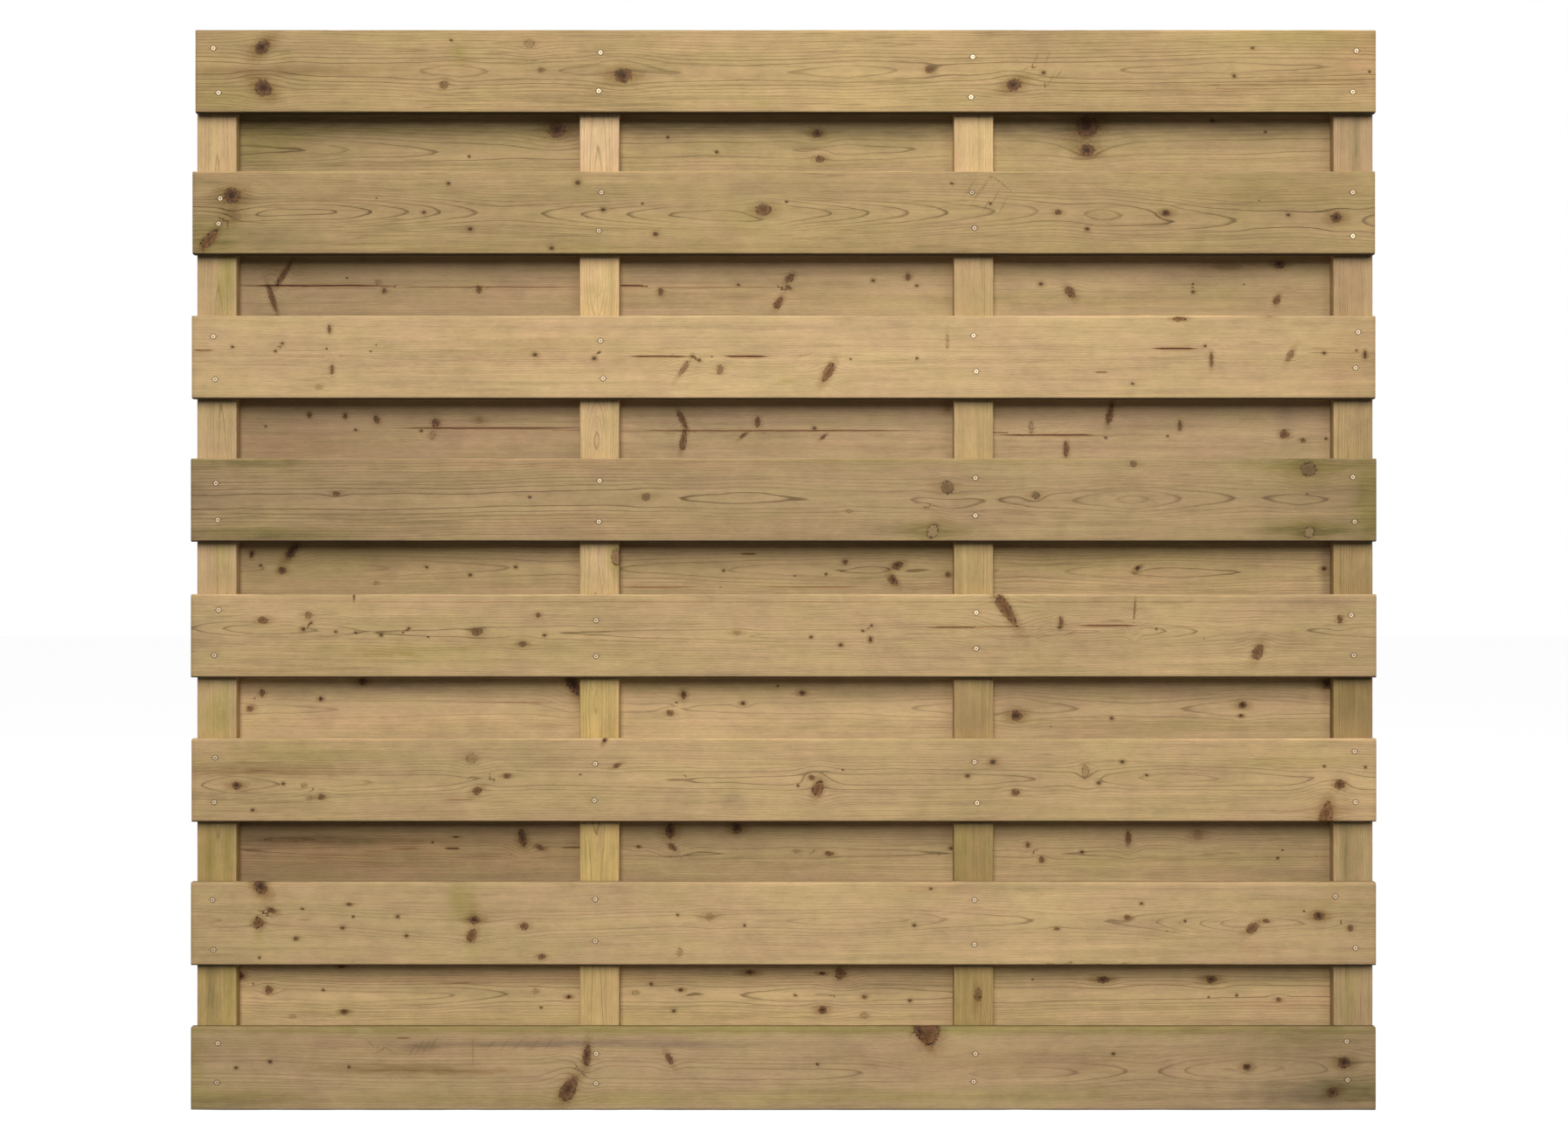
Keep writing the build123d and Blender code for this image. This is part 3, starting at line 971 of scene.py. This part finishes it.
def bendGrain(bent, knots, along, across):
    # leads the grain round each knot, and gives how many rings each knot lifts it
    bulge = np.zeros_like(along)
    lengthwise, crosswise = growth["bendReach"]
    for centreAlong, centreAcross, halfLong, halfHigh, tilt, tone in knots:
        sides = (halfLong * math.cos(tilt), halfHigh * math.sin(tilt),
                 halfLong * math.sin(tilt), halfHigh * math.cos(tilt))
        reachAlong = max(abs(sides[0]), abs(sides[1]), growth["leastKnot"])
        reachAcross = max(abs(sides[2]), abs(sides[3]), growth["leastKnot"])
        du, dv = along - centreAlong, across - centreAcross
        near = np.exp(-((du / reachAlong / lengthwise) ** 2) - (dv / reachAcross / crosswise) ** 2)
        bent = bent - dv * growth["bend"] * near
        bulge += near * min(reachAcross / growth["bulgeKnot"], 1.0)
    return bent, bulge * growth["bulge"]


def paintedEdgeLight(name, depth, across):
    # 1 on a board's upper edge, a painted highlight; -1 at its lower edge and where boards lap, painted
    # shade
    # painted highlight on a board's upper edge
    start, fade = growth["highlightEdge"]
    edge = np.clip((across - across.max() + start) / fade, 0, 1) * wood[name].get("edgeHighlight", 1.0)
    # painted shade at a board's lower edge
    start, fade = growth["shadedEdge"]
    edge -= np.clip((across.min() + start - across) / fade, 0, 1)
    # painted shade where boards lap
    if name.startswith("front"):
        turnedIn, lap = depth > depth.max() - growth["lapDepth"], growth["frontLap"]
    else:
        turnedIn, lap = depth < depth.min() + growth["lapDepth"], growth["backLap"]
    edge -= turnedIn * np.clip((abs(across) - across.max() + lap) / growth["lapFade"], 0, 1)
    return np.clip(edge, -1, 1)


def growWood(mesh, name, centre, upright, screws):
    # writes what the wood shows at each point of the mesh, which still lies along X
    look = wood[name]
    points = np.zeros(len(mesh.vertices) * 3)
    mesh.vertices.foreach_get("co", points)
    along, depth, across = points.reshape(-1, 3).T / millimetre
    faceY = centre.y + depth.min() * millimetre
    seed = sum(ord(letter) * place for place, letter in enumerate(name, 3))

    def local(pixelX, pixelY):  # from a pixel to mm along and across the piece
        x, z, perPixel = fromPhoto(pixelX, pixelY, faceY)
        right, up = (x - centre.x) / millimetre, (z - centre.z) / millimetre
        scale = perPixel / millimetre
        return (up, -right, scale) if upright else (right, up, scale)

    def track(key, shift=0.0):  # a value that changes along the piece, or stays the same
        if not isinstance(look[key], list):
            return np.full(len(along), float(look[key]))
        places = [(local(0, at)[0] if upright else local(at, 0)[0], value)
                  for at, value in look[key]]
        return passing(sorted(places), along + shift)

    def spot(x, y, long, high, tilt, tone):
        placeAlong, placeAcross, scale = local(x, y)
        angle = math.radians(tilt - 90 if upright else tilt)
        return placeAlong, placeAcross, long * scale / 2, high * scale / 2, angle, tone

    def wave(key, shift):
        size, lengthwise, crosswise = growth[key]
        return size * swell(along, across, lengthwise, crosswise, seed + shift)

    def showSpots(label, spots, limit, toned):
        place, tone = nearestSpot(along, across, spots, spotLimits[limit])
        store(mesh, label + "Spot", place)
        if toned:
            store(mesh, label + "Tone", tone)

    knots = [spot(x, y, long, high, tilt, knotKinds[kind])
             for x, y, long, high, tilt, kind in look.get("knots", [])]
    scratches = [spot(x, y, long, growth["scratchWidth"], tilt, knotKinds["scratch"])
                 for x, y, long, tilt in look.get("scratches", [])]
    pins = [spot(x, y, size, size * growth["pinShape"], 0, (0, 0, 0))
            for x, y, size in look.get("pins", [])]
    cracks = [spot((start + end) / 2, y, end - start, growth["crackBand"], 0, (width, 0, 0))
              for start, end, y, width in look.get("cracks", [])]
    heads = [(right, up, 1.0, 1.0, 0.0, (0, 0, 0)) for right, up in screws]

    # growth rings: how far each point is from the pith, which wanders along the piece
    bent = across - track("centre") + wave("pithWander", 0)
    bent, bulge = bendGrain(bent, knots, along, across)
    behind = track("rings") - (depth - depth.min()) / look["spacing"]
    fromPith = np.hypot(bent / look["spacing"], behind)
    ring = fromPith + growth["ringShift"] + bulge + wave("ringWave", 2)
    faintest = growth["faintest"]
    clearer = faintest + (1 - faintest) * np.exp(-((bent / growth["spread"]) ** 2))
    contrast = track("contrast") * clearer
    # how steeply the face cuts the rings, which sets how broad a late line shows
    steep = abs(bent) / look["spacing"] / fromPith
    step = growth["slopeStep"]
    slope = abs(track("rings", step) - track("rings", -step)) / (2 * step) * look["spacing"]
    least, most = growth["steepness"]
    steep = np.clip(slope * growth["slopeWeight"], least, most) + (1 - most) * steep
    store(mesh, "ring", ring)
    store(mesh, "steep", steep)
    store(mesh, "grain", np.stack([along + seed * 7.0, across + seed % 31, depth], 1))

    for number, layer in enumerate(parted(knots + scratches), 1):
        showSpots(f"knot{number}", layer, "knot", True)
    showSpots("pin", pins, "pin", False)
    showSpots("crack", cracks, "crack", True)
    showSpots("screw", heads, "screw", False)

    stain = np.zeros((len(along), 3))
    for x, y, long, high, kind, strength in look["stains"]:
        placeAlong, placeAcross, scale = local(x, y)
        reachAlong, reachAcross = (high, long) if upright else (long, high)
        away = ((along - placeAlong) / reachAlong / scale) ** 2
        away += ((across - placeAcross) / reachAcross / scale) ** 2
        ragged = 1 + wave("stainWave", len(kind))
        stain += np.outer(np.exp(-away * ragged), stainKinds[kind]) * strength
    store(mesh, "stain", stain)
    edge = np.zeros(len(along)) if upright else paintedEdgeLight(name, depth, across)
    store(mesh, "tone", np.column_stack([track("light"), contrast, edge]))
    store(mesh, "blue", track("blue"))


# Wood, as shader nodes. Lengths in it are millimetres.

woodLook = {
    "early": paint(195, 165, 119),
    "late": paint(104, 82, 52),
    "knotBrown": paint(136, 102, 66),
    "knotDark": paint(122, 84, 57),
    "knotRed": paint(152, 108, 68),
    "knotGrey": paint(180, 150, 102),
    "knotRim": paint(40, 26, 16),
    "crack": paint(60, 38, 28),
    "roughness": 0.7,
    "specular": 0.12,
    "bump": 0.8,
    # what the wood's colour is multiplied by
    "warmPatch": (1.01, 0.975, 0.98, 1),
    "greenPatch": (0.985, 1.01, 0.92, 1),
    "aroundKnot": (0.50, 0.41, 0.26, 1),
    "aroundPin": (0.62, 0.52, 0.40, 1),
    "aroundCrack": (0.80, 0.58, 0.45, 1),
    # and for a green, a grey and a pink stain
    "stains": ((0.80, 0.87, 0.62, 1), (0.66, 0.68, 0.72, 1), (1.0, 0.89, 0.87, 1)),
}

# How the wood varies: how often for each millimetre along, across and into it, with the
# noise's shift, detail and roughness
woodNoises = {
    "fibre": ((0.07, 1.1, 1.1), 0.0, 3.0, 0.7),
    "strand": ((0.012, 0.36, 0.36), 0.0, 2.0, 0.6),
    "streak": ((0.003, 0.10, 0.10), 0.0, 2.0, 0.5),
    "cloud": ((0.006, 0.02, 0.02), 0.0, 2.0, 0.5),
    "figure": ((0.035, 0.05, 0.05), 0.0, 3.0, 0.5),
    "ragged": ((0.03, 0.25, 0.25), 0.0, 2.0, 0.5),
    "speck": ((0.25, 0.9, 0.9), 0.0, 1.0, 0.5),
    "level": ((0.0016, 0.085, 0.085), 9.0, 3.0, 0.6),
    "patch": ((0.009, 0.035, 0.035), 40.0, 3.0, 0.5),
    "stained": ((0.03, 0.16, 0.16), 0.0, 3.0, 0.5),
    "wobble": ((0.22, 0.30, 0.30), 0.0, 4.0, 0.65),
    "blotch": ((0.3, 0.3, 0.3), 17.0, 2.0, 0.5),
}
# how much lighter and darker each of these makes the wood
toneNoises = {"fibre": 0.46, "strand": 0.42, "streak": 0.38, "cloud": 0.40, "figure": 0.34}


def newMaterial(name):
    material = bpy.data.materials.new(name)
    material.use_nodes = True
    return material, Graph(material.node_tree)


def spotReach(graph, name, wobble, amount):
    # how far out of the middle of the nearest spot, where 1 is the spot's outline
    x, y, outside = graph.parts(graph.ownVector(name))
    return x, y, (x * x + y * y) ** 0.5 + (wobble - 0.5) * amount + outside * 30.0


def drawKnots(graph, colour, layer, wobble, blotch, look):
    # knots with a dark heart, rings, grooves and a rim, and the wood tinted round them
    redness, darkness, ringed = graph.parts(graph.ownVector(f"knot{layer}Tone"))
    x, y, outside = graph.parts(graph.ownVector(f"knot{layer}Spot"))
    ragged = (wobble - 0.5) * 1.05
    broad = (x * x * (redness * 0.4 + 0.22) + y * y * 0.8) ** 0.5 + ragged + outside * 9.0
    y = y / (1 - x * redness * 0.4)  # a branch cut along its length narrows to its tip
    away = (x * x + y * y) ** 0.5 + ragged + outside * 9.0
    core = graph.faded(away, redness * 0.12 + ringed * 0.1 + 0.62, 1.12)
    rim = graph.faded(abs(away - 0.9), 0.0, 0.3)
    halo = graph.faded(broad, 0.3, 1.9)
    rings = graph.maths("SINE", away * 14.0 + 1.5) * 0.5 + 0.5
    heart = graph.faded(away + x * 0.15 - y * 0.2, 0.15, 0.85)
    grooves = graph.noise(graph.joined(x * 1.2, y * 4.5, redness * 7.0 + darkness), detail=2.0)
    grooves = graph.ramped(grooves, 0.5, 0.68)
    inner = graph.mixed(redness, look["knotBrown"], look["knotRed"])
    inner = graph.mixed(graph.ramped(darkness, 0.5, 1.0, 0.0, 0.8), inner, look["knotDark"])
    pale = graph.faded(darkness, 0.1, 0.55) * (1 - redness * 0.8)
    inner = graph.mixed(pale, inner, look["knotGrey"])
    marks = graph.larger(rings * ringed * (darkness * 0.5 + 0.2), heart * darkness)
    marks = graph.larger(marks, blotch * (darkness * 0.72))
    marks = graph.larger(marks, grooves * (redness * 0.45 + 0.3))
    inner = graph.mixed(marks, inner, look["knotRim"])
    around = halo * (darkness * 0.75 + redness * 0.15 + 0.06)
    colour = graph.tinted(around, colour, look["aroundKnot"])
    strength = graph.ramped(darkness + ringed, 0.1, 0.9, 0.25, 0.97)
    colour = graph.mixed(core * strength, colour, inner)
    edge = rim * (ringed * 0.7 + redness * 0.55) * graph.ramped(blotch + wobble, 0.4, 1.2, 0.25, 1.2)
    return graph.mixed(edge, colour, look["knotRim"]), core, rim


def woodMaterial(name, look):
    material, graph = newMaterial(name)
    grain = graph.ownVector("grain")
    light, contrast, edge = graph.parts(graph.ownVector("tone"))
    noises = {label: graph.noise(grain * scale + shift, detail, roughness)
              for label, (scale, shift, detail, roughness) in woodNoises.items()}
    fibre, strand, ragged = noises["fibre"], noises["strand"], noises["ragged"]

    # growth rings: pale early wood that darkens to a thin late line, then stops short
    steep = graph.ownNumber("steep")
    phase = graph.ownNumber("ring") + ((ragged - 0.5) * 0.3 + (fibre - 0.5) * 0.16) * steep
    count = graph.maths("FLOOR", phase)
    cycle = phase - count
    uneven = graph.node("ShaderNodeTexWhiteNoise", {"noise_dimensions": "1D"}, {"W": count}, 0)
    late = graph.ramped((cycle - 0.94) / steep, -0.8, 0.0) ** 3.5 * graph.faded(cycle, 0.95, 1.0)
    late = late * (uneven * 0.6 + 0.45) * contrast * (1.2 - steep * 0.75)
    # long thin lines, where slow changes along the grain meet the face
    line = graph.faded(abs(noises["level"] - 0.5), 0.0, 0.035) * graph.ramped(strand, 0.35, 0.6)
    late = graph.larger(late, line * (contrast * 0.8) * steep)
    colour = graph.mixed(late * 0.9, look["early"], look["late"])

    # fibres, slow changes of tone along the grain, light specks and warm and green patches
    colour = graph.mixed((1 - fibre) * 0.35 * strand, colour, look["late"])
    shade = 1.02
    for label, spread in toneNoises.items():
        shade = shade + (noises[label] - 0.5) * spread
    shade = shade + graph.ramped(noises["speck"], 0.62, 0.8) * 0.16
    colour = graph.times(colour, graph.joined(shade, shade, shade))
    greener = graph.ramped(noises["patch"], 0.3, 0.7)
    colour = graph.times(colour, graph.mixed(greener, look["warmPatch"], look["greenPatch"]))

    amounts = graph.parts(graph.ownVector("stain"))
    for amount, tint in zip(amounts, look["stains"]):
        colour = graph.tinted(amount * (noises["stained"] * 1.6) * 1.3, colour, tint)

    wobble, blotch = noises["wobble"], graph.ramped(noises["blotch"], 0.47, 0.62)
    colour, core, rim = drawKnots(graph, colour, 1, wobble, blotch, look)
    colour, otherCore, otherRim = drawKnots(graph, colour, 2, wobble, blotch, look)
    core, rim = graph.larger(core, otherCore), graph.larger(rim, otherRim)

    away = spotReach(graph, "pinSpot", wobble, 0.7)[2]
    colour = graph.tinted(graph.ramped(away, 0.9, 3.0, 0.45, 0.0), colour, look["aroundPin"])
    colour = graph.mixed(graph.ramped(away, 0.3, 1.4, 0.8, 0.0), colour, look["knotRim"])

    # cracks, which taper to both ends
    crackX, crackY, outside = graph.parts(graph.ownVector("crackSpot"))
    width = graph.parts(graph.ownVector("crackTone"))[0]
    reach = abs(crackX) + (ragged - 0.5) * 0.3
    taper = graph.ramped(reach, 0.5, 1.0, 1.0, 0.1)
    off = abs(crackY * 3.4 + (ragged - 0.5) * 1.2) / (taper * width) + outside * 9.0
    crack = graph.faded(off, 0.3, 0.8) * graph.faded(reach, 0.94, 1.0)
    crack = crack * graph.ramped(width, 0.2, 1.6, 0.35, 0.95)
    colour = graph.tinted(graph.ramped(off, 0.6, 2.6, 0.7, 0.0), colour, look["aroundCrack"])
    colour = graph.mixed(crack, colour, look["crack"])

    # crushed wood round each screw, and the painted shade of its countersunk hole
    screwX, screwY, away = spotReach(graph, "screwSpot", wobble, 1.2)
    bruiseAndShade = graph.ramped(away, 3.7, 5.2, 0.7, 0.0)
    tick = graph.ramped(abs(screwX), 4.5, 9.0, 0.45, 0.0) * graph.faded(abs(screwY), 0.2, 1.3)
    bruiseAndShade = graph.larger(bruiseAndShade, tick * graph.faded(away, 10.0, 13.0))
    colour = graph.mixed(bruiseAndShade, colour, look["knotRim"])

    # painted highlight along a board's upper edge, varied by the streaks
    edgeHighlight = graph.larger(edge, 0.0) * graph.ramped(noises["streak"], 0.35, 0.65, 0.0, 0.4)
    # painted shade at a board's lower edge and in the laps, down to 0.12 of the colour
    shade = light * (1 + edgeHighlight) * graph.ramped(edge, -1.0, 0.0, 0.12, 1.0)
    colour = graph.times(colour, graph.joined(shade, shade, shade * graph.ownNumber("blue")))
    rough = look["roughness"] + (fibre - 0.5) * 0.25 - core * 0.1
    height = fibre * 0.12 + strand * 0.1 - late * 0.06 + core * 0.05 - rim * 0.10 - crack * 0.7
    normal = graph.node("ShaderNodeBump", {}, {
        "Strength": look["bump"], "Distance": millimetre, "Height": height,
    }, "Normal")
    surface = graph.node("ShaderNodeBsdfPrincipled", {}, {
        "Base Color": colour, "Roughness": rough, "Normal": normal,
        "Specular IOR Level": look["specular"],
    }, "BSDF")
    graph.show("Material", surface)
    return material


# The screws' steel, and the painted shade inside their recesses, each with a fine uneven finish.
# finish: how often it changes for each metre, spread: how much, cloud: the same for a broader noise.
metals = {
    "screwSteel": {
        "colour": paint(232, 205, 168), "roughness": 0.5, "metallic": 0.3,
        "finish": 900.0, "spread": 0.7, "cloud": 8.0,
    },
    # painted shade: the dark inside of a screw's recess
    "screwRecessShade": {
        "colour": paint(36, 28, 26), "roughness": 0.7, "metallic": 0.2,
        "finish": 900.0, "spread": 0.5, "cloud": 8.0,
    },
}


def metalMaterial(name):
    look = metals[name]
    material, graph = newMaterial(name)
    place = graph.node("ShaderNodeTexCoord", {}, {}, "Object")
    uneven = graph.noise(place * look["finish"], detail=3.0) - 0.5
    cloud = graph.ramped(graph.noise(place * look["cloud"]), 0.4, 0.6, -0.12, 0.08)
    shade = (1 + uneven * look["spread"] + cloud) * graph.ownNumber("shine")
    surface = graph.node("ShaderNodeBsdfPrincipled", {}, {
        "Base Color": graph.times(look["colour"], graph.joined(shade, shade, shade)),
        "Roughness": look["roughness"] + uneven * 0.3, "Metallic": look["metallic"],
    }, "BSDF")
    graph.show("Material", surface)
    return material


def screwTree(steel, shadow):
    graph, given = newTree("countersunkScrews", {
        "Geometry": "Geometry", "Head Width": "Float", "Head Sides": "Int", "Rim Taper": "Float",
        "Recess Width": "Float", "Recess Depth": "Float", "Recess Taper": "Float",
        "Height": "Float", "Facing": "Float", "Tilt": "Float", "Turn": "Float", "Seed": "Int",
    })
    disc = graph.node("GeometryNodeMeshCircle", {"fill_type": "NGON"}, {
        "Vertices": given["Head Sides"], "Radius": given["Head Width"] / 2,
    }, "Mesh")

    def raised(mesh, top, offset, scale):
        mesh, top, side = graph.node("GeometryNodeExtrudeMesh", {"mode": "FACES"}, {
            "Mesh": mesh, "Selection": top, "Offset Scale": offset, "Individual": False,
        }, "Mesh", "Top", "Side")
        mesh = graph.node("GeometryNodeScaleElements", {"domain": "FACE"}, {
            "Geometry": mesh, "Selection": top, "Scale": scale,
        }, "Geometry")
        return mesh, top, side

    rimTaper = given["Rim Taper"]
    head, top, side = raised(disc, True, given["Height"], rimTaper)
    head, top, side = raised(head, top, 0.0, given["Recess Width"] / given["Head Width"] / rimTaper)
    head, top, side = raised(head, top, given["Recess Depth"] * -1.0, given["Recess Taper"])
    head = graph.node("GeometryNodeStoreNamedAttribute", {"data_type": "BOOLEAN", "domain": "FACE"}, {
        "Geometry": head, "Name": "recess", "Value": graph.larger(top, side),
    }, "Geometry")
    placed = graph.node("GeometryNodeInstanceOnPoints", {}, {
        "Points": given["Geometry"], "Instance": head,
        "Rotation": graph.joined(given["Facing"] * math.radians(90), 0, 0),
    }, "Instances")
    lean = graph.joined(given["Tilt"], given["Tilt"], given["Turn"])
    tilt = graph.node("FunctionNodeRandomValue", {"data_type": "FLOAT_VECTOR"}, {
        0: lean * -1.0, 1: lean, "Seed": given["Seed"],
    }, 0)
    turned = graph.node("GeometryNodeRotateInstances", {}, {
        "Instances": placed, "Rotation": tilt, "Local Space": True,
    }, 0)
    real = graph.node("GeometryNodeRealizeInstances", {}, {0: turned}, 0)
    real = graph.node("GeometryNodeSetMaterial", {}, {"Geometry": real, "Material": steel}, 0)
    recess = graph.node("GeometryNodeInputNamedAttribute", {"data_type": "BOOLEAN"}, {
        "Name": "recess",
    }, 0)
    real = graph.node("GeometryNodeSetMaterial", {}, {
        "Geometry": real, "Selection": recess, "Material": shadow,
    }, 0)
    return endTree(graph, real)


def makeTimber(name, tree, material, screws):
    upright = name.startswith("batten")
    low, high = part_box(name)
    size, centre = high - low, (low + high) / 2
    length, width = (size.z, size.x) if upright else (size.x, size.z)
    piece = grow(name + "_wood", bpy.data.meshes.new(name), tree, {
        "Length": length, "Width": width, "Thickness": size.y,
        "Arris": timber["battenArris"] if upright else timber["boardArris"],
        "End Ease": timber["endEase"],
        "Length Lines": round(length / timber["step"]) + 1,
        "Width Lines": round(width / timber["crossStep"]) + 1,
        "Thickness Lines": timber["thicknessLines"],
        "Face Sink": timber["faceSink"], "Face Wave": timber["faceWave"],
        "Edge Wave": timber["battenWave"] if upright else timber["boardWave"],
        "Wave Length": timber["edgeWaveLength"], "Seed": centre.z * 10 + centre.x,
        "Material": material,
    })
    onPiece = [((x - centre.x) / millimetre, (z - centre.z) / millimetre) for x, z in screws]
    growWood(piece.data, name, centre, upright, onPiece)
    turn = Matrix.Rotation(math.radians(-90), 4, "Y") if upright else Matrix.Identity(4)
    piece.data.transform(Matrix.Translation(centre) @ turn)
    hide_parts(name)
    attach(piece, "root")


def makeScrews(name, tree, places, faceY, facing):
    mesh = bpy.data.meshes.new(name)
    mesh.from_pydata([(x, faceY, z) for x, z in places], [], [])
    perBoard = len(frontScrews[0])
    shines = []
    for number in range(len(places)):
        row, column = number // perBoard, number % perBoard // 2
        evenShine = screw["rowShine"][row] * screw["columnShine"][column]
        shines.append(screw["ownShine"].get(number, 1.0) * evenShine)
    store(mesh, "shine", np.array(shines))
    piece = grow(name, mesh, tree, {
        "Head Width": screw["headWidth"], "Head Sides": screw["headSides"],
        "Rim Taper": screw["rimTaper"], "Recess Width": screw["recessWidth"],
        "Recess Depth": screw["recessDepth"], "Recess Taper": screw["recessTaper"],
        "Height": screw["proud"] + screw["sunk"], "Facing": facing,
        "Tilt": screw["tilt"], "Turn": screw["turn"], "Seed": screw["seed"],
    })
    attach(piece, "root")


def backScrewPlaces(board):
    # two screws at each crossing, a little off the regular places
    low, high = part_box(board)
    scatter = np.random.default_rng(screw["seed"] + int(board[-1]))
    places = []
    for batten in ("batten_left", "batten_mid_left", "batten_mid_right", "batten_right"):
        middle = sum(corner.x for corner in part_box(batten)) / 2
        for z in (low.z + screw["edge"], high.z - screw["edge"]):
            shift = scatter.uniform(-1, 1, 2) * screw["scatter"]
            places.append((middle + shift[0], z + shift[1]))
    return places


def makePanel():
    tree = timberTree()
    boardWood = woodMaterial("boardWood", woodLook)
    battenWood = woodMaterial("battenWood", woodLook)
    heads = screwTree(metalMaterial("screwSteel"), metalMaterial("screwRecessShade"))
    front, back = [], []
    for name in sorted(wood):
        if name.startswith("batten"):
            makeTimber(name, tree, battenWood, [])
            continue
        if name.startswith("front"):
            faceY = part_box(name)[0].y
            screws = [fromPhoto(x, y, faceY)[:2] for x, y in frontScrews[int(name[-1]) - 1]]
            front += screws
        else:
            screws = backScrewPlaces(name)
            back += screws
        makeTimber(name, tree, boardWood, screws)
    print("timber made,", len(wood), "pieces")
    sunk = timber["faceSink"] + screw["sunk"]
    makeScrews("front_screws", heads, front, cadLow.y + sunk, 1.0)
    makeScrews("back_screws", heads, back, cadHigh.y - sunk, -1.0)
    print("screws made,", len(front), "at the front and", len(back), "at the back")


# Floor, world and lamps

studio = {
    "floorDrop": 0.2 * millimetre,
    "floorSize": 40.0,
    "floorShade": 0.12,  # how light the floor is for light that bounces off it
    "floorGlow": 0.975,  # how white it shows before light falls on it
    "ambient": 0.014,
    "lamps": {  # place, width and height, power
        "mainLamp": ((0.3, -6.4, 4.7), (3.8, 6.8), 640.0),
        "rightLamp": ((4.2, -4.2, 2.7), (2.6, 3.2), 66.0),
        "backLamp": ((0.4, 5.6, 2.0), (4.2, 4.4), 150.0),
    },
}


def seenFactor(graph):
    # 1 for the camera and for what metal or glass shows
    rays = graph.node("ShaderNodeLightPath", {}, {},
                      "Is Camera Ray", "Is Glossy Ray", "Is Transmission Ray")
    return graph.maths("MINIMUM", rays[0] + rays[1] + rays[2], 1.0)


def makeFloor():
    half = studio["floorSize"] / 2
    level = cadLow.z - studio["floorDrop"]
    mesh = bpy.data.meshes.new("floor")
    corners = [(-half, -half, level), (half, -half, level), (half, half, level), (-half, half, level)]
    mesh.from_pydata(corners, [], [(0, 1, 2, 3)])
    floor = bpy.data.objects.new("floor", mesh)
    bpy.context.scene.collection.objects.link(floor)
    material, graph = newMaterial("floorWhite")
    shade = studio["floorShade"]
    matt = graph.node("ShaderNodeBsdfDiffuse", {}, {"Color": (shade, shade, shade, 1)}, 0)
    glow = graph.node("ShaderNodeEmission", {}, {
        "Color": (1, 1, 1, 1), "Strength": studio["floorGlow"],
    }, 0)
    seen = graph.node("ShaderNodeAddShader", {}, {0: matt, 1: glow}, 0)
    surface = graph.node("ShaderNodeMixShader", {}, {0: seenFactor(graph), 1: matt, 2: seen}, 0)
    graph.show("Material", surface)
    mesh.materials.append(material)


def makeWorld():
    world = bpy.data.worlds.new("studio")
    bpy.context.scene.world = world
    world.use_nodes = True
    graph = Graph(world.node_tree)
    strength = studio["ambient"] + seenFactor(graph) * (1 - studio["ambient"])
    background = graph.node("ShaderNodeBackground", {}, {
        "Color": (1, 1, 1, 1), "Strength": strength,
    }, 0)
    graph.show("World", background)


def makeLamp(name, place, size, power):
    data = bpy.data.lights.new(name, "AREA")
    data.shape = "RECTANGLE"
    data.size, data.size_y = size
    data.energy = power
    lamp = bpy.data.objects.new(name, data)
    lamp.location = place
    middle = (cadLow + cadHigh) / 2
    lamp.rotation_euler = (middle - Vector(place)).to_track_quat("-Z", "Y").to_euler()
    lamp.visible_camera = False
    bpy.context.scene.collection.objects.link(lamp)


makeCamera()
makePanel()
makeFloor()
makeWorld()
for lampName, lampLook in studio["lamps"].items():
    makeLamp(lampName, *lampLook)
print("stage and lamps made")
